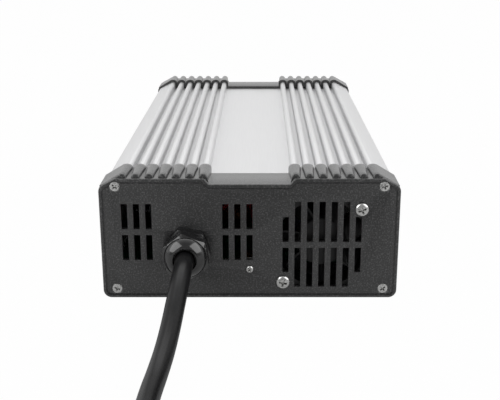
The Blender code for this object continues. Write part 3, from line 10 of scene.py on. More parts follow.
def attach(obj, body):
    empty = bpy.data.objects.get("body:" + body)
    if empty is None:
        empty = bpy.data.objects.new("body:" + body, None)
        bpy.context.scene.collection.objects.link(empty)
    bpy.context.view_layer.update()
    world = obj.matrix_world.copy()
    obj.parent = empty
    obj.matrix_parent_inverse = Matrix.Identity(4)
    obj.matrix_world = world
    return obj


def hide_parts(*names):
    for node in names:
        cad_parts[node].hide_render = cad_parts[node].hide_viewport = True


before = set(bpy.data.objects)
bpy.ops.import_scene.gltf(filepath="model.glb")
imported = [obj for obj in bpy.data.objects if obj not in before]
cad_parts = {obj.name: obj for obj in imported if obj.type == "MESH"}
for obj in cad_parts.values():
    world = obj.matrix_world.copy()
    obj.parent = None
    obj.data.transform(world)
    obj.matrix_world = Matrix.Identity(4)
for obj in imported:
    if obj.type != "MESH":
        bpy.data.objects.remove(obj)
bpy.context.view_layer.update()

# Camera
# It stands in front of the charger, a little to its right, and looks down on it by 16 degrees. The shift puts
# the case in the upper part of the picture, as in a product photograph.
picture_width, picture_height = 500, 400
focal_length = 834.1  # in pixels of that width
centre_column = 259.9
centre_row = 160.0
tilt = 16
camera_data = bpy.data.cameras.new("camera")
camera_data.sensor_width = 36.0
camera_data.lens = camera_data.sensor_width * focal_length / picture_width
camera_data.shift_x = (picture_width / 2 - centre_column) / picture_width
camera_data.shift_y = (centre_row - picture_height / 2) / picture_width
camera_data.clip_start = 0.01
camera = bpy.data.objects.new("camera", camera_data)
camera.location = (0.0052, -0.5407, 0.1901)
camera.rotation_euler = (radians(90 - tilt), 0, 0)
bpy.context.scene.collection.objects.link(camera)
bpy.context.scene.camera = camera


# Output lead
# A black rubber-jacketed lead, 9.5 mm thick. It leaves the gland straight, bends down to the floor under its
# own weight and runs forwards; its spare length lies in a coil there, two turns and a part of a third.
lead_diameter = 0.0095
lead_height = 0.0048  # of its axis over the floor
gland_x, gland_z = -0.0322, 0.0278  # the gland that it leaves by
coil_centre = Vector((0.0173, -0.3320, 0))
outer_turn, inner_turn, top_turn = 0.0573, 0.0475, 0.0524  # radii
step_up = 0.0096  # from the floor to the groove on top of the two turns

lead_points = [
    (gland_x, -0.1230, gland_z),
    (gland_x, -0.1400, gland_z),
    (gland_x, -0.1570, gland_z),
    (-0.0324, -0.1650, 0.0270),
    (-0.0330, -0.1750, 0.0240),
    (-0.0340, -0.1860, 0.0192),
    (-0.0352, -0.1980, 0.0135),
    (-0.0366, -0.2110, 0.0087),
    (-0.0382, -0.2250, 0.0058),
    (-0.0394, -0.2380, 0.0049),
    (-0.0399, -0.2500, lead_height),
    (-0.0400, -0.2700, lead_height),
    (-0.0400, -0.2987, lead_height),
    (-0.0400, -0.3150, lead_height),
]


def eased(value, start, end):
    """0 before start, 1 after end, and a smooth step between them."""
    t = min(1.0, max(0.0, (value - start) / (end - start)))
    return t * t * (3 - 2 * t)


coil_start, coil_end, coil_steps = 180, 935, 90  # in degrees round the coil
going_in, climbing, going_out = (430, 540), (720, 850), (850, 920)


def on_coil(angle):
    """A point of the coil: the outer turn, the one inside it, and the last one in the groove on top of both."""
    inward = (inner_turn - outer_turn) * eased(angle, *going_in)
    back_out = (top_turn - inner_turn) * eased(angle, *going_out)
    radius = outer_turn + inward + back_out
    height = lead_height + step_up * eased(angle, *climbing)
    a = radians(angle)
    return coil_centre + Vector((radius * cos(a), radius * sin(a), height))


for i in range(coil_steps):
    lead_points.append(on_coil(coil_start + (coil_end - coil_start) * i / (coil_steps - 1)))

boot_length = 0.024
connector_height, connector_reach, connector_turn = 0.0091, 0.07135, -14
connector_place = (
    Matrix.Translation(coil_centre + Vector((0, 0, connector_height)))
    @ Matrix.Rotation(radians(connector_turn), 4, "Z")
    @ Matrix.Translation((connector_reach, -boot_length, 0))
    @ Matrix.Rotation(-pi / 2, 4, "X")
)
boot_start = connector_place.translation
leaving = lead_points[-1]
leaving_way = Vector((-sin(radians(coil_end)), cos(radians(coil_end)), 0))
arriving_way = connector_place.to_3x3() @ Vector((0, 0, 1))
bend_out, bend_in, bend_steps = 0.080, 0.036, 12
for i in range(1, bend_steps + 1):
    t = i / bend_steps
    spot = (1 - t) ** 3 * leaving + t**3 * boot_start
    spot += 3 * (1 - t) ** 2 * t * (leaving + bend_out * leaving_way)
    spot += 3 * (1 - t) * t * t * (boot_start - bend_in * arriving_way)
    spot.z = leaving.z + (boot_start.z - leaving.z) * eased(t, 0.2, 0.8)
    lead_points.append(spot)

lead_curve = bpy.data.curves.new("lead_cord", "CURVE")
lead_curve.dimensions = "3D"
lead_curve.resolution_u = 5
lead_curve.bevel_depth = lead_diameter / 2
lead_curve.bevel_resolution = 6
lead_curve.use_fill_caps = True
lead_line = lead_curve.splines.new("BEZIER")
lead_line.bezier_points.add(len(lead_points) - 1)
for point, place in zip(lead_line.bezier_points, lead_points):
    point.co = place
    point.handle_left_type = "AUTO"
    point.handle_right_type = "AUTO"
lead_cord = bpy.data.objects.new("lead_cord", lead_curve)
bpy.context.scene.collection.objects.link(lead_cord)


noise_range = (0.41, 0.59)  # most of the noise lies between them
speck_range = (0.50, 0.70)  # so that specks stay apart
gloss_change = 0.12


def surface(
    slot, colour, roughness, metallic=0.0, grain=0.0005, relief=0.00001, mottle=0.1, stretch=(1, 1, 1),
    specular=0.5, specks=None,
):
    """A material whose fine grain, of that size in metres, shades its colour and gloss and raises its skin.

    The colour is mottled both ways, or it is the ground for specks of a second colour.
    """
    made = bpy.data.materials.new(slot)
    made.use_nodes = True
    nodes, links = made.node_tree.nodes, made.node_tree.links
    shader = nodes["Principled BSDF"]
    shader.inputs["Metallic"].default_value = metallic
    shader.inputs["Specular IOR Level"].default_value = specular
    place = nodes.new("ShaderNodeTexCoord")
    mapping = nodes.new("ShaderNodeMapping")
    mapping.inputs["Scale"].default_value = stretch
    noise = nodes.new("ShaderNodeTexNoise")
    noise.inputs["Scale"].default_value = 1 / grain
    noise.inputs["Detail"].default_value = 3.0
    links.new(place.outputs["Object"], mapping.inputs["Vector"])
    links.new(mapping.outputs["Vector"], noise.inputs["Vector"])
    spread = nodes.new("ShaderNodeMapRange")
    low, high = speck_range if specks else noise_range
    spread.inputs["From Min"].default_value = low
    spread.inputs["From Max"].default_value = high
    links.new(noise.outputs["Fac"], spread.inputs["Value"])
    tone = nodes.new("ShaderNodeMix")
    tone.data_type = "RGBA"
    ground = colour if specks else [c * (1 - mottle) for c in colour]
    light = specks or [min(1.0, c * (1 + mottle)) for c in colour]
    tone.inputs["A"].default_value = (*ground, 1)
    tone.inputs["B"].default_value = (*light, 1)
    links.new(spread.outputs["Result"], tone.inputs["Factor"])
    links.new(tone.outputs["Result"], shader.inputs["Base Color"])
    gloss = nodes.new("ShaderNodeMapRange")
    gloss.inputs["To Min"].default_value = roughness * (1 - gloss_change)
    gloss.inputs["To Max"].default_value = min(1.0, roughness * (1 + gloss_change))
    links.new(noise.outputs["Fac"], gloss.inputs["Value"])
    links.new(gloss.outputs["Result"], shader.inputs["Roughness"])
    bump = nodes.new("ShaderNodeBump")
    bump.inputs["Distance"].default_value = relief
    links.new(noise.outputs["Fac"], bump.inputs["Height"])
    links.new(bump.outputs["Normal"], shader.inputs["Normal"])
    links.new(bump.outputs["Normal"], shader.inputs["Coat Normal"])
    return made


black = (0.006, 0.006, 0.0065)
jacket = surface("cable_jacket", black, 0.30, grain=0.0012, relief=0.000012, mottle=0.15, specular=0.25)
lead_curve.materials.append(jacket)
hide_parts("output_lead", "lead_coil")
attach(lead_cord, "case")


# Connector of the lead
# A round plug at the lead's far end. Its rubber boot is moulded over the jacket and pushed into a nickel-plated
# shell, which holds a black nylon insert with three contact holes.


def object_of(bm, name):
    """A scene object from a bmesh, its faces turned outwards."""
    bmesh.ops.recalc_face_normals(bm, faces=bm.faces[:])
    if bm.calc_volume(signed=True) < 0:
        bmesh.ops.reverse_faces(bm, faces=bm.faces[:])
    mesh = bpy.data.meshes.new(name)
    bm.to_mesh(mesh)
    bm.free()
    made = bpy.data.objects.new(name, mesh)
    bpy.context.scene.collection.objects.link(made)
    return made


def baked(piece):
    """Applies the piece's modifiers to its mesh."""
    graph = bpy.context.evaluated_depsgraph_get()
    graph.update()
    final = bpy.data.meshes.new_from_object(piece.evaluated_get(graph))
    piece.modifiers.clear()
    piece.data = final
    return piece


def finished(piece, body, finish, width=0.0002, angle=32, smooth=38):
    """Rounds a piece's edges, smooths its round faces, and gives it its material and body."""
    rounding = piece.modifiers.new("rounding", "BEVEL")
    rounding.width = width
    rounding.segments = 2
    rounding.limit_method = "ANGLE"
    rounding.angle_limit = radians(angle)
    baked(piece)
    piece.data.shade_smooth()
    piece.data.set_sharp_from_angle(angle=radians(smooth))
    piece.data.materials.clear()
    piece.data.materials.append(finish)
    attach(piece, body)
    return piece


def dressed(piece, nodes, body, finish, width=0.0002, angle=32, smooth=38):
    """Finishes a piece that stands for the named frame nodes."""
    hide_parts(*nodes)
    return finished(piece, body, finish, width, angle, smooth)


def softened(node, body, finish, width=0.0002, angle=32):
    """A copy of a frame node, its loose triangles merged, with rounded edges and smooth round faces."""
    bm = bmesh.new()
    bm.from_mesh(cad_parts[node].data)
    bmesh.ops.remove_doubles(bm, verts=bm.verts, dist=0.000002)
    bmesh.ops.dissolve_limit(
        bm, angle_limit=radians(1), use_dissolve_boundaries=False, verts=bm.verts, edges=bm.edges, delimit={"NORMAL"}
    )
    return dressed(object_of(bm, f"{node}_skin"), [node], body, finish, width, angle)


seal_rubber = surface("seal_rubber", (0.012, 0.012, 0.012), 0.62, grain=0.0006, relief=0.00002)
nickel = surface("connector_metal", (0.55, 0.55, 0.56), 0.26, 1.0, grain=0.0008, relief=0.000003)
gland_nylon = surface("gland_nylon", black, 0.14, grain=0.0012, relief=0.000002, specular=0.85)
boot = softened("connector_boot", "case", seal_rubber, 0.0004)
shell = softened("connector_shell", "case", nickel)
insert = softened("connector_insert", "case", gland_nylon)

# Cable gland
# Moulded in black nylon: a hexagonal body through the front plate with ridged sides, the domed nut that the
# lead comes out of, the rubber seal that grips it, and the lock nut inside. The dome is polished.
gland_flats = 0.0220
gland_corner_radius = 0.0124
ridge_count = 13  # on each of the six sides
ridge_depth = 0.00014
body_back, body_front = -0.1400, -0.1453
nut_back, hex_front, nut_mouth = -0.1456, -0.1529, -0.1570
barrel_radius, barrel_front = 0.0082, -0.1513
shank_radius, shank_end = 0.0079, -0.1287  # through the front plate
bore_radius = 0.00505
flange_radius, nut_reach = 0.0130, 0.0128  # where turning takes their corners off
ring_radius = 0.0108
mouth_radius, mouth_lip, mouth_depth = 0.0060, 0.0010, 0.0040
thread_radius = 0.0085


def ridged_hexagon(turn):
    """A hexagon with fine ridges along its sides and its corners turned off, about the gland's axis."""
    outline = []
    steps = 2 * ridge_count
    for side in range(6):
        for i in range(steps):
            a = -30 + 60 * (i + 0.5) / steps
            reach = gland_flats / 2 / cos(radians(a))
            inner = min(reach, gland_corner_radius) - (ridge_depth if i % 2 else 0)
            way = radians(turn + 30 + 60 * side + a)
            outline.append((gland_x + inner * cos(way), gland_z + inner * sin(way)))
    return outline


def prism(outline, start, end, into=None):
    """An (x, z) outline extruded along Y."""
    bm = into or bmesh.new()
    face = bm.faces.new([bm.verts.new((x, start, z)) for x, z in outline])
    far = bmesh.ops.extrude_face_region(bm, geom=[face])["geom"]
    moved = [v for v in far if isinstance(v, bmesh.types.BMVert)]
    bmesh.ops.translate(bm, verts=moved, vec=(0, end - start, 0))
    return bm


def turned(x, z, profile, steps=64):
    """A (radius, y) profile spun about the line along Y through (x, z); the profile ends on the axis or closes."""
    bm = bmesh.new()
    verts = [bm.verts.new((x + r, y, z)) for r, y in profile]
    edges = [bm.edges.new((a, b)) for a, b in zip(verts, verts[1:])]
    bmesh.ops.spin(
        bm, geom=verts + edges, cent=(x, 0, z), axis=(0, 1, 0), angle=2 * pi, steps=steps, use_merge=True
    )
    bmesh.ops.remove_doubles(bm, verts=bm.verts, dist=0.000001)
    return bm


def combined(piece, other, operation):
    """The piece after a Boolean with the other, which is then deleted."""
    change = piece.modifiers.new("combine", "BOOLEAN")
    change.operation = operation
    change.solver = "MANIFOLD"
    change.object = other
    baked(piece)
    bpy.data.objects.remove(other, do_unlink=True)
    return piece


body = object_of(prism(ridged_hexagon(49), body_front, body_back), "gland_body_skin")
barrel_profile = [
    (0, barrel_front), (barrel_radius, barrel_front), (barrel_radius, -0.1450), (shank_radius, -0.1450),
    (shank_radius, shank_end), (0, shank_end),
]
combined(body, object_of(turned(gland_x, gland_z, barrel_profile), "barrel"), "UNION")
flange_form = [
    (0, -0.1600), (0.0115, body_front), (flange_radius, body_front + 0.0007), (flange_radius, -0.1390),
    (0.0100, -0.1200), (0, -0.1200),
]
combined(body, object_of(turned(gland_x, gland_z, flange_form), "flange_form"), "INTERSECT")
bore_profile = [(0, -0.1530), (bore_radius, -0.1530), (bore_radius, -0.1270), (0, -0.1270)]
combined(body, object_of(turned(gland_x, gland_z, bore_profile, 32), "bore"), "DIFFERENCE")
body = dressed(body, ["gland_body"], "case", gland_nylon, 0.00008, 50)

nut = object_of(prism(ridged_hexagon(37), nut_mouth - 0.0005, nut_back), "gland_dome_nut_skin")
dome_inner = mouth_radius + mouth_lip
dome_outer, dome_foot, dome_power = ring_radius - 0.0003, hex_front - 0.0003, 1.6
dome = [
    (dome_inner + (dome_outer - dome_inner) * sin(radians(a)) ** dome_power,
     nut_mouth + (dome_foot - nut_mouth) * (1 - cos(radians(a)) ** dome_power))
    for a in range(0, 91, 9)
]
nut_form = [
    (0, nut_mouth), *dome, (ring_radius - 0.0002, hex_front + 0.0001), (ring_radius, hex_front),
    (nut_reach, hex_front + 0.0018), (nut_reach, nut_back + 0.0004), (0.0122, nut_back), (0, nut_back),
]
combined(nut, object_of(turned(gland_x, gland_z, nut_form, 96), "nut_form"), "INTERSECT")
thread = [(0, -0.1540), (thread_radius, -0.1540), (thread_radius, -0.1440), (0, -0.1440)]
combined(nut, object_of(turned(gland_x, gland_z, thread), "thread"), "DIFFERENCE")
mouth_end = nut_mouth + mouth_depth
mouth = [(0, -0.1600), (mouth_radius, -0.1600), (mouth_radius, mouth_end), (0, mouth_end)]
combined(nut, object_of(turned(gland_x, gland_z, mouth), "mouth"), "DIFFERENCE")
nut = dressed(nut, ["gland_dome_nut"], "case", gland_nylon, 0.00012, 40, 30)

gland_pieces = [
    body, nut,
    softened("gland_seal", "case", seal_rubber),
    softened("gland_locknut", "case", gland_nylon),
]

# Cable tie
# A black nylon strap pulled tight round the coil's two lower turns, with its lock and its short tail on top. It
# holds the spare length together and comes away with the lead.
tie_angle, tie_width, tie_thickness = radians(292), 0.0036, 0.0009
tie_across = outer_turn - inner_turn + 2 * tie_thickness
lowest_run = tie_thickness + 0.0001  # it presses into the soft jacket there
tie_outline = []
for hand, low in ((1, -90), (-1, 90)):
    for step in range(11):
        a = radians(low + 18 * step)
        run = max(lowest_run, lead_height + lead_diameter / 2 * sin(a))
        tie_outline.append((hand * tie_across / 2 + lead_diameter / 2 * cos(a), run))
strap = bmesh.new()
strap_line = [strap.verts.new((x, -tie_width / 2, z)) for x, z in tie_outline]
strap_edges = [strap.edges.new(pair) for pair in zip(strap_line, [*strap_line[1:], strap_line[0]])]
strap_side = bmesh.ops.extrude_edge_only(strap, edges=strap_edges)["geom"]
strap_verts = [v for v in strap_side if isinstance(v, bmesh.types.BMVert)]
bmesh.ops.translate(strap, verts=strap_verts, vec=(0, tie_width, 0))
bmesh.ops.recalc_face_normals(strap, faces=strap.faces[:])
bmesh.ops.solidify(strap, geom=strap.faces[:], thickness=-tie_thickness)
tie = object_of(strap, "lead_tie")
for low, high in (
    ((-0.0028, -0.0026, 0.0096), (0.0028, 0.0026, 0.0135)),
    ((-0.0105, -0.0015, 0.0112), (0.0055, 0.0015, 0.0122)),
):
    lock = bmesh.new()
    size = Vector(high) - Vector(low)
    middle = Matrix.Translation((Vector(high) + Vector(low)) / 2)
    bmesh.ops.create_cube(lock, size=1.0, matrix=middle @ Matrix.Diagonal((*size, 1)))
    combined(tie, object_of(lock, "lock"), "UNION")
tie_middle = (outer_turn + inner_turn) / 2
tie_spot = coil_centre + Vector((tie_middle * cos(tie_angle), tie_middle * sin(tie_angle), 0))
tie.data.transform(Matrix.Translation(tie_spot) @ Matrix.Rotation(tie_angle, 4, "Z"))
gland_pieces.append(finished(tie, "case", gland_nylon, 0.0002, 40))

# Finned case
# One aluminium extrusion, satin anodised: seven round-topped ribs on each side of a flat middle, sloping
# shoulders and plain sides.
drawn_along = (1, 0.03, 1)  # the grain is long in the direction in which the case was drawn
aluminium = surface(
    "brushed_aluminium", (0.70, 0.70, 0.705), 0.46, 0.62,
    grain=0.0006, relief=0.000002, mottle=0.012, stretch=drawn_along,
)
softened("case_shell", "case", aluminium, 0.00025, 20)

# End caps
# Moulded in dark grey plastic with a fine sparkling grain. A rounded rim and a groove frame the sunk panel, and a
# bump over each rib of the case narrows towards the end, where it stops in a round nose on a flat ledge.
cap_plastic = surface(
    "cap_plastic", (0.0080, 0.0080, 0.0084), 0.40,
    grain=0.00078, relief=0.00010, specular=0.57, specks=(0.082, 0.082, 0.083),
)
cap_sheen = cap_plastic.node_tree.nodes["Principled BSDF"]
cap_sheen.inputs["Coat Weight"].default_value = 0.8
cap_sheen.inputs["Coat Roughness"].default_value = 0.30
half_width, half_length = 0.0767, 0.1400
cap_depth, cap_back = 0.0200, 0.1370
ledge = 0.0653
recess_floor, recess_half = 0.0623, 0.0203
recess_top_half = 0.0228
slope_foot, slope_head = (half_width, 0.0612), (0.0686, ledge)
rim_outline = [  # the right half, as corners with their radii
    (half_width, 0.0, 0.0042), (*slope_foot, 0.0050), (*slope_head, 0.0016),
    (recess_top_half, ledge, 0.0014), (recess_half, recess_floor, 0.0010),
]
rim_outline += [(-x, z, r) for x, z, r in reversed(rim_outline)]
rim_rounding = 0.0009
panel_inset, groove_width = 0.0017, 0.0008
panel_sink, groove_sink = 0.0003, 0.0008
rib_count, rib_pitch, first_rib = 7, 0.00685, 0.0235
bump_rise, bump_back_half, bump_front_half = 0.0022, 0.00335, 0.0023
bump_setback, nose_length = 0.0013, 0.0008
gap = 0.0003  # between the case and the cap that takes it in


def inset(corners, distance):
    """An (x, z, radius) outline, listed against the clock, taken in by the distance all round."""
    taken = []
    for before, (x, z, radius), after in zip([corners[-1], *corners], corners, [*corners[1:], corners[0]]):
        here = Vector((x, z))
        one = (here - Vector(before[:2])).normalized()
        two = (Vector(after[:2]) - here).normalized()
        inwards = Vector((-one.y - two.y, one.x + two.x)) * distance / (1 + one.dot(two))
        convex = one.x * two.y - one.y * two.x > 0
        taken.append((*(here + inwards), max(0.0002, radius - distance if convex else radius + distance)))
    return taken


def filleted(corners, steps=6):
    """Points on an outline of (x, z, radius) corners, each rounded by its radius."""
    outline = []
    for before, (x, z, radius), after in zip([corners[-1], *corners], corners, [*corners[1:], corners[0]]):
        here = Vector((x, z))
        one = (Vector(before[:2]) - here).normalized()
        two = (Vector(after[:2]) - here).normalized()
        half = one.angle(two) / 2
        middle = here + (one + two).normalized() * radius / sin(half)
        start, end = (here + way * radius / tan(half) - middle for way in (one, two))
        outline += [tuple(middle + radius * start.lerp(end, i / steps).normalized()) for i in range(steps + 1)]
    return outline


def bump_section(y, half, rise):
    """A cut through the row of bumps on the right: seven arches, the last one running out on the slope."""
    bottom, end = recess_floor - 0.0015, half_width - 0.0007
    arch_steps = 12
    section = [(recess_half - 0.0006, y, bottom), (first_rib - half, y, bottom)]
    for i in range(rib_count):
        x = first_rib + i * rib_pitch
        span = 125 if i == rib_count - 1 else 180
        for step in range(arch_steps + 1):
            a = radians(-90 + span * step / arch_steps)
            section.append((x + half * sin(a), y, ledge - gap + (rise + gap) * max(0.0, cos(a)) ** 0.85))
    return [*section, (end, y, slope_foot[1] + 0.0002), (end, y, bottom)]


def bridged(sections, ring=False):
    """A closed body through sections of equally many points; a ring runs from the last back to the first."""
    bm = bmesh.new()
    rows = [[bm.verts.new(p) for p in section] for section in sections]
    loops = [[bm.edges.new(pair) for pair in zip(row, [*row[1:], row[0]])] for row in rows]
    for one, two in zip(loops, [*loops[1:], loops[0]] if ring else loops[1:]):
        bmesh.ops.bridge_loops(bm, edges=one + two)
    if not ring:
        ends = [bm.faces.new(row) for row in (rows[0], rows[-1])]
        bmesh.ops.triangulate(bm, faces=ends)
    return bm


def bump_row(side, hand):
    """The bumps of one hand, widest where the case slides in, with round noses over the ledge."""
    nose = half_length - bump_setback
    inner = half_length - cap_depth - 0.0010
    taper_steps = 6
    sections = []
    for i in range(taper_steps + 1):
        share = i / taper_steps
        y = inner + (nose - nose_length - inner) * share
        sections.append((y, bump_back_half + (bump_front_half - bump_back_half) * share, bump_rise))
    for t in (25, 45, 60, 72, 82, 88):
        fall = cos(radians(t)) ** 0.8
        y = nose - nose_length * (1 - sin(radians(t)))
        sections.append((y, bump_front_half * (0.80 + 0.20 * fall), bump_rise * fall - 0.5 * gap * (1 - fall)))
    cuts = [bump_section(y, half, rise) for y, half, rise in sections]
    return bridged([[(hand * x, side * y, z) for x, y, z in cut] for cut in cuts])


slope_angle = 27.4  # of the case's shoulders, in degrees


def shell_section(grow):
    """The ribbed outline of the extruded case, made larger all round by grow."""
    half, wall_round, rib_half, crest = 0.0747 + grow, 0.0020 + grow, 0.00185 + grow, 0.06365
    bottom, floor = 0.0020 - grow, 0.0603 + grow
    slope = radians(slope_angle)
    last = first_rib + (rib_count - 1) * rib_pitch
    points = [
        (half - wall_round + wall_round * sin(radians(a)), bottom + wall_round * (1 - cos(radians(a))))
        for a in (0, 30, 60, 90)
    ]
    touch = (last + rib_half * sin(slope), crest + rib_half * cos(slope))
    points.append((half, touch[1] - tan(slope) * (half - touch[0])))
    for i in reversed(range(rib_count)):
        x = first_rib + i * rib_pitch
        start = 90 - slope_angle if i == rib_count - 1 else 0
        if start == 0:
            points.append((x + rib_half, floor))
        arch = [radians(start + (180 - start) * s / 10) for s in range(11)]
        points += [(x + rib_half * cos(a), crest + rib_half * sin(a)) for a in arch]
        points.append((x - rib_half, floor))
    return points + [(-x, z) for x, z in reversed(points)]


def block(low, high, into=None):
    """A box between two corners."""
    bm = into or bmesh.new()
    size = [b - a for a, b in zip(low, high)]
    centre = [(a + b) / 2 for a, b in zip(low, high)]
    bmesh.ops.create_cube(bm, size=1.0, matrix=Matrix.Translation(centre) @ Matrix.Diagonal((*size, 1)))
    return bm


def end_cap(name, side, openings):
    """One cap: its block with the bumps, less the hollow for the case, the panel, the groove and the openings."""
    end = side * half_length
    inner = side * (half_length - cap_depth)
    bm = prism(filleted(rim_outline), end, inner)
    rim = [e for e in bm.edges if all(abs(v.co.y - end) < 0.00001 for v in e.verts)]
    bmesh.ops.bevel(
        bm, geom=rim, offset=rim_rounding, affect="EDGES", segments=4, profile=0.5, material=-1, clamp_overlap=False
    )
    cap = object_of(bm, f"{name}_skin")
    for hand in (1, -1):
        combined(cap, object_of(bump_row(side, hand), "bumps"), "UNION")
    spare = 0.0050
    trim = sorted((inner - side * 2 * spare, inner))
    combined(cap, object_of(block((-0.1, trim[0], -0.01), (0.1, trim[1], 0.1)), "trim"), "DIFFERENCE")
    hollow = prism(shell_section(gap), side * cap_back, inner - side * spare)
    combined(cap, object_of(hollow, "hollow"), "DIFFERENCE")
    panel = prism(filleted(inset(rim_outline, panel_inset)), end - side * panel_sink, end + side * 0.0020)
    combined(cap, object_of(panel, "panel"), "DIFFERENCE")
    outer, middle = (filleted(inset(rim_outline, d)) for d in (panel_inset, panel_inset + groove_width))
    bottom = end - side * groove_sink
    groove_loops = ((outer, bottom), (outer, end), (middle, end), (middle, bottom))
    groove = bridged([[(x, y, z) for x, z in outline] for outline, y in groove_loops], ring=True)
    combined(cap, object_of(groove, "groove"), "DIFFERENCE")
    combined(cap, object_of(openings, "openings"), "DIFFERENCE")
    return dressed(cap, [name], "case", cap_plastic, 0.00012, 50, 32)


slot_width, slot_pitch = 0.0032, 0.00615
plate = (half_length + 0.0010, cap_back - 0.0010)  # from in front of the cap's wall to behind it
corner_screws = [(hand * x, z) for x, z in ((0.0683, 0.0611), (0.0694, 0.0051)) for hand in (-1, 1)]
slot_rows = ((0.0212, 0.0350), (0.0382, 0.0518))
seat_radius, seat_depth, seat_hole = 0.00295, 0.0019, 0.0015


def slots(into, side, middles, rows):
    """Upright slots through the plate."""
    near, far = sorted((side * plate[0], side * plate[1]))
    for x in middles:
        for low, high in rows:
            block((x - slot_width / 2, near, low), (x + slot_width / 2, far, high), into)


def screw_seats(into, side):
    """The countersunk holes in the corners."""
    face = half_length - panel_sink
    profile = [
        (0, face + 0.002), (seat_radius, face + 0.002), (seat_radius, face), (seat_hole, face - seat_depth),
        (seat_hole, plate[1]), (0, plate[1]),
    ]
    for x, z in corner_screws:
        seat = turned(x, z, [(r, side * y) for r, y in profile], 32)
        merged = bpy.data.meshes.new("seat")
        seat.to_mesh(merged)
        seat.free()
        into.from_mesh(merged)
        bpy.data.meshes.remove(merged)


def round_holes(into, side, holes):
    """Round holes (x, z, radius) through the plate."""
    for x, z, radius in holes:
        bmesh.ops.create_cone(
            into, cap_ends=True, segments=32, radius1=radius, radius2=radius, depth=2 * (plate[0] - plate[1]),
            matrix=Matrix.Translation((x, side * sum(plate) / 2, z)) @ Matrix.Rotation(pi / 2, 4, "X"),
        )


front_openings = bmesh.new()
for centre in (-0.0579, -0.0063):
    slots(front_openings, -1, [centre + i * slot_pitch for i in (-1, 0, 1)], slot_rows)
grille_middle, grille_pitch = 0.0371, 0.00623
for columns, rows in (
    (range(-2, 3), ((0.0062, 0.0280), (0.0312, 0.0530))),
    ((-3, 3), ((0.0144, 0.0280), (0.0312, 0.0448))),  # the outer slots leave room for the fan's screws
):
    slots(front_openings, -1, [grille_middle + i * grille_pitch for i in columns], rows)
screw_seats(front_openings, -1)
fan_screw_places, fan_screw_hole = ((0.0572, 0.0490), (0.0172, 0.0090)), 0.0020
panel_screw_place, panel_screw_hole = (-0.0001, 0.0162), 0.0015
front_holes = [(gland_x, gland_z, barrel_radius)]
front_holes += [(*place, fan_screw_hole) for place in fan_screw_places]
front_holes.append((*panel_screw_place, panel_screw_hole))
round_holes(front_openings, -1, front_holes)
end_cap("front_end_cap", -1, front_openings)

rear_openings = bmesh.new()
rear_vent_middle = -0.0450
slots(rear_openings, 1, [rear_vent_middle + i * slot_pitch for i in range(-3, 4)], slot_rows)
screw_seats(rear_openings, 1)
inlet_x, inlet_z = 0.0280, 0.0310
inlet_half, inlet_rise, inlet_corner = 0.0138, 0.0101, 0.0045
inlet_half_outline = [
    (inlet_half, -inlet_rise), (inlet_half, inlet_rise - inlet_corner), (inlet_half - inlet_corner, inlet_rise),
]
inlet_opening = [(inlet_x + x, inlet_z + z) for x, z in inlet_half_outline]
inlet_opening += [(inlet_x - x, inlet_z + z) for x, z in reversed(inlet_half_outline)]
prism(inlet_opening, plate[1], plate[0], rear_openings)
light_x, light_hole = 0.0620, 0.0027
round_holes(rear_openings, 1, [(light_x, z, light_hole) for z in (0.0480, 0.0380)])
end_cap("rear_end_cap", 1, rear_openings)

# Screws and bracket
# Zinc-plated steel with cross recesses: countersunk in the caps' corners, and with raised round heads at the fan
# and at the small bracket that holds the board. Each was driven home at its own angle.
zinc = surface("screw_steel", (0.64, 0.64, 0.63), 0.26, 1.0, grain=0.0006, relief=0.000004)


recess_taper = 0.85  # of a bar's bottom against its top


def recess_bar(turn, recess, top):
    """One tapered bar of the driver's cross, sunk into the head that ends at top."""
    reach, arm, depth = recess
    bm = bmesh.new()
    above = 0.0005
    middle = Matrix.Translation((0, 0, top + above - (depth + above) / 2))
    size = Matrix.Diagonal((2 * reach, arm, depth + above, 1))
    bmesh.ops.create_cube(bm, size=1.0, matrix=middle @ Matrix.Rotation(radians(turn), 4, "Z") @ size)
    low = [v for v in bm.verts if v.co.z < top]
    bmesh.ops.scale(bm, verts=low, vec=(recess_taper, recess_taper, 1))
    return bm


def screw(name, x, z, side, profile, recess, turn):
    """A spun screw with its cross, turned about its axis and driven into the panel's face."""
    bm = bmesh.new()
    verts = [bm.verts.new((r, 0, h)) for r, h in profile]
    edges = [bm.edges.new(pair) for pair in zip(verts, verts[1:])]
    bmesh.ops.spin(
        bm, geom=verts + edges, cent=(0, 0, 0), axis=(0, 0, 1), angle=2 * pi, steps=48, use_merge=True
    )
    bmesh.ops.remove_doubles(bm, verts=bm.verts, dist=0.000001)
    made = object_of(bm, f"{name}_skin")
    top = profile[0][1]
    for bar_turn in (90, 0):
        combined(made, object_of(recess_bar(bar_turn, recess, top), "bar"), "DIFFERENCE")
    facing = Matrix.Translation((x, side * (half_length - panel_sink), z)) @ Matrix.Rotation(-side * pi / 2, 4, "X")
    made.data.transform(facing @ Matrix.Rotation(radians(turn), 4, "Z"))
    dressed(made, [name], "case", zinc, 0.00006, 50)


head, shank, sunk, screw_length = 0.00265, 0.0012, -0.00012, 0.0120
countersunk = [
    (0, sunk), (head - 0.0002, sunk), (head, sunk - 0.00015), (shank, -0.0016), (shank, 2 * shank - screw_length),
    (0, -screw_length),
]
corner_recess = (0.00155, 0.00080, 0.0016)  # each arm's reach and width, and the depth
front_turns, rear_turns = (-40, 12, 70, 40), (25, -18, 55, 5)
for end, side, turns in (("front", -1, front_turns), ("rear", 1, rear_turns)):
    for i, ((x, z), turn) in enumerate(zip(corner_screws, turns), 1):
        screw(f"{end}_screw_{i}", x, z, side, countersunk, corner_recess, turn)


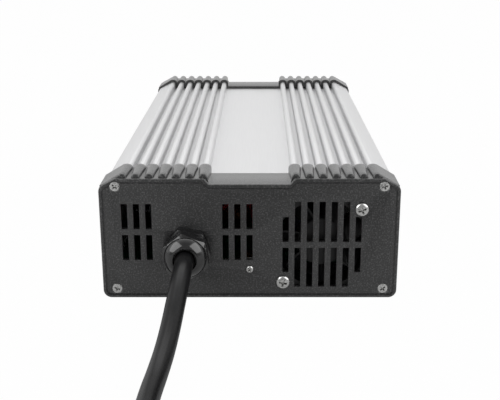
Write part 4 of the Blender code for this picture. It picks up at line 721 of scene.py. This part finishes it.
def round_head(radius, rise, stem, length):
    """The profile of a raised head with a low dome and a steep edge."""
    seat = 0.00012
    angles = [radians(a) for a in range(10, 91, 10)]
    dome = [(radius * sin(a) ** 0.8, seat + (rise - seat) * cos(a) ** 0.7) for a in angles]
    return [(0, rise), *dome, (stem, seat), (stem, stem - length), (0, -length)]


fan_head, fan_recess, fan_turns = round_head(0.0036, 0.0020, 0.0017, 0.0120), (0.0022, 0.00105, 0.0022), (20, -12)
for i, (place, turn) in enumerate(zip(fan_screw_places, fan_turns), 1):
    screw(f"fan_screw_{i}", *place, -1, fan_head, fan_recess, turn)
panel_head, panel_recess, panel_turn = round_head(0.00195, 0.0013, 0.0012, 0.0060), (0.0012, 0.00062, 0.0015), 35
screw("panel_screw", *panel_screw_place, -1, panel_head, panel_recess, panel_turn)
softened("board_bracket", "case", zinc, 0.0001)

# Fan
# A black axial fan, moulded in plastic and screwed to the front cap behind its grille. Its square frame holds a
# seven-bladed rotor, which turns on the motor's copper windings.
fan_plastic = surface("fan_plastic", (0.008, 0.008, 0.0085), 0.50, grain=0.0007, relief=0.00001)
rotor_plastic = surface("rotor_plastic", (0.024, 0.024, 0.025), 0.45, grain=0.0007, relief=0.00001)
copper = surface("copper_winding", (0.32, 0.13, 0.07), 0.42, 1.0, grain=0.0003, relief=0.00002)
softened("fan_frame", "case", fan_plastic)
softened("fan_rotor", "rotor", rotor_plastic, 0.0001)
softened("fan_stator", "case", copper)

# Mains inlet and lights
# A black nylon inlet, snapped into the rear cap, with three brass pins pressed into it. Beside it sit the tinted
# lenses of the two lights, moulded in clear plastic and pushed in from inside.
brass = surface("plated_brass", (0.75, 0.68, 0.50), 0.25, 1.0, grain=0.0008, relief=0.000002)
green_lens = surface("green_lens", (0.05, 0.55, 0.10), 0.12, grain=0.002, relief=0.000001)
red_lens = surface("red_lens", (0.65, 0.03, 0.03), 0.12, grain=0.002, relief=0.000001)
softened("inlet_body", "case", gland_nylon)
for pin in ("line", "neutral", "earth"):
    softened(f"inlet_pin_{pin}", "case", brass, 0.0001)
softened("charge_light", "case", green_lens, 0.0001)
softened("power_light", "case", red_lens, 0.0001)

# Board and its components
# A green glass-fibre board, slid into the case on its ledges, with the parts soldered to it: finned aluminium
# heat sinks, a ferrite transformer, capacitors, coils, a relay and a fuse. The vents give a glimpse of them.
laminate = surface("board_laminate", (0.012, 0.075, 0.035), 0.40, grain=0.002, relief=0.00001, mottle=0.3)
sink_metal = surface("heat_sink_metal", (0.60, 0.61, 0.62), 0.40, 1.0, grain=0.0006, relief=0.000003)
epoxy = surface("component_epoxy", (0.025, 0.025, 0.028), 0.42, grain=0.0005)
ferrite = surface("ferrite", (0.06, 0.06, 0.065), 0.60, grain=0.0006, relief=0.00002)
tape = surface("winding_tape", (0.75, 0.60, 0.08), 0.45, grain=0.003, relief=0.00002)
sleeve = surface("capacitor_sleeve", (0.03, 0.04, 0.09), 0.28, grain=0.002)
film_case = surface("film_yellow", (0.70, 0.52, 0.06), 0.35, grain=0.002)
glass = surface("fuse_glass", (0.80, 0.85, 0.85), 0.05, grain=0.004, relief=0.000001, mottle=0.02)
glass.node_tree.nodes["Principled BSDF"].inputs["Transmission Weight"].default_value = 0.8
transistors = [f"transistor_{side}_{i}" for side in ("left", "right") for i in (1, 2)]
output_capacitors = [f"output_capacitor_{i}" for i in (1, 2, 3)]
for slot, finish, pieces in (
    ("board_laminate", laminate, ["circuit_board", "light_board"]),
    ("heat_sink_metal", sink_metal, ["heat_sink_left", "heat_sink_right"]),
    ("component_epoxy", epoxy, [*transistors, "output_relay"]),
    ("ferrite", ferrite, ["transformer_core"]),
    ("winding_tape", tape, ["transformer_winding"]),
    ("capacitor_sleeve", sleeve, ["bulk_capacitor_1", "bulk_capacitor_2", *output_capacitors]),
    ("copper_winding", copper, ["output_inductor", "mains_filter_choke"]),
    ("film_yellow", film_case, ["film_capacitor"]),
    ("fuse_glass", glass, ["fuse"]),
):
    for piece in pieces:
        softened(piece, "case", finish)

# Wires inside the case
# Single wires in coloured plastic insulation, soldered to the board: the lead's two cores, the fan's and the
# lights' wires, and the three that come from the inlet.
for slot, colour, wires in (
    ("red_insulation", (0.45, 0.012, 0.02), ["positive_wire"]),
    ("black_insulation", (0.02, 0.02, 0.02), ["negative_wire", "fan_lead", "light_lead"]),
    ("brown_insulation", (0.22, 0.09, 0.03), ["line_wire"]),
    ("blue_insulation", (0.03, 0.12, 0.50), ["neutral_wire"]),
    ("green_yellow_insulation", (0.35, 0.50, 0.05), ["earth_wire"]),
):
    insulation = surface(slot, colour, 0.35, grain=0.002)
    for wire in wires:
        softened(wire, "case", insulation, 0.0001, 60)

# Studio
# A white paper floor under a white sky. Two soft boxes stand in front, high on the left and on the right, and a
# third hangs over the case's far end.
floor_mesh = bmesh.new()
bmesh.ops.create_grid(floor_mesh, x_segments=1, y_segments=1, size=4.0)
floor_data = bpy.data.meshes.new("floor")
floor_mesh.to_mesh(floor_data)
floor_mesh.free()
floor = bpy.data.objects.new("floor", floor_data)
floor.location.z = -0.0002
bpy.context.scene.collection.objects.link(floor)
paper = bpy.data.materials.new("floor_paper")
paper.use_nodes = True
nodes, links = paper.node_tree.nodes, paper.node_tree.links
nodes.clear()
output = nodes.new("ShaderNodeOutputMaterial")
matt = nodes.new("ShaderNodeBsdfDiffuse")
matt.inputs["Color"].default_value = (0.50, 0.50, 0.50, 1)
white = nodes.new("ShaderNodeEmission")
white.inputs["Strength"].default_value = 1.0
blend = nodes.new("ShaderNodeMixShader")
seen = nodes.new("ShaderNodeLightPath")
direct = nodes.new("ShaderNodeMath")
direct.operation = "MULTIPLY"
direct.inputs[1].default_value = 0.985  # how white the paper looks to the camera
links.new(seen.outputs["Is Camera Ray"], direct.inputs[0])
share = nodes.new("ShaderNodeMath")
share.operation = "MULTIPLY_ADD"
share.inputs[1].default_value = 0.15  # and how much whiter it looks in a reflection
links.new(seen.outputs["Is Glossy Ray"], share.inputs[0])
links.new(direct.outputs["Value"], share.inputs[2])
links.new(share.outputs["Value"], blend.inputs["Fac"])
links.new(matt.outputs["BSDF"], blend.inputs[1])
links.new(white.outputs["Emission"], blend.inputs[2])
links.new(blend.outputs["Shader"], output.inputs["Surface"])
floor_data.materials.append(paper)

world = bpy.data.worlds.new("sky")
world.use_nodes = True
bpy.context.scene.world = world
nodes, links = world.node_tree.nodes, world.node_tree.links
sky = nodes["Background"]
sky.inputs["Color"].default_value = (1, 1, 1, 1)
seen = nodes.new("ShaderNodeLightPath")
direction = nodes.new("ShaderNodeTexCoord")
parts = nodes.new("ShaderNodeSeparateXYZ")
links.new(direction.outputs["Generated"], parts.inputs["Vector"])
room = nodes.new("ShaderNodeMapRange")  # a bright room behind the charger, a dim one in front of it
for socket, value in (("From Min", -0.30), ("From Max", 0.10), ("To Min", 0.32), ("To Max", 0.94)):
    room.inputs[socket].default_value = value
links.new(parts.outputs["Y"], room.inputs["Value"])
mirrored = nodes.new("ShaderNodeMath")
mirrored.operation = "MULTIPLY"
links.new(seen.outputs["Is Glossy Ray"], mirrored.inputs[0])
links.new(room.outputs["Result"], mirrored.inputs[1])
levels = [mirrored.outputs["Value"], seen.outputs["Is Camera Ray"], seen.outputs["Is Transmission Ray"]]
plain_light = 0.34
brightest = None
for level in levels:
    step = nodes.new("ShaderNodeMath")
    step.operation = "MAXIMUM"
    step.inputs[1].default_value = plain_light
    if brightest:
        links.new(brightest, step.inputs[1])
    links.new(level, step.inputs[0])
    brightest = step.outputs["Value"]
links.new(brightest, sky.inputs["Strength"])

lit_spot = Vector((0, 0, 0.03))
for name, place, wide, high, power in (
    ("left_box", (-1.05, -0.60, 0.85), 1.2, 1.2, 10.5),
    ("right_box", (1.05, -0.60, 0.85), 1.2, 1.2, 10),
    ("top_box", (0, 0.75, 1.50), 1.6, 0.9, 6),
):
    lamp = bpy.data.lights.new(name, "AREA")
    lamp.shape = "RECTANGLE"
    lamp.size = wide
    lamp.size_y = high
    lamp.energy = power
    holder = bpy.data.objects.new(name, lamp)
    holder.location = place
    holder.rotation_euler = (lit_spot - Vector(place)).to_track_quat("-Z", "Y").to_euler()
    bpy.context.scene.collection.objects.link(holder)

bpy.context.scene.view_settings.view_transform = "Standard"
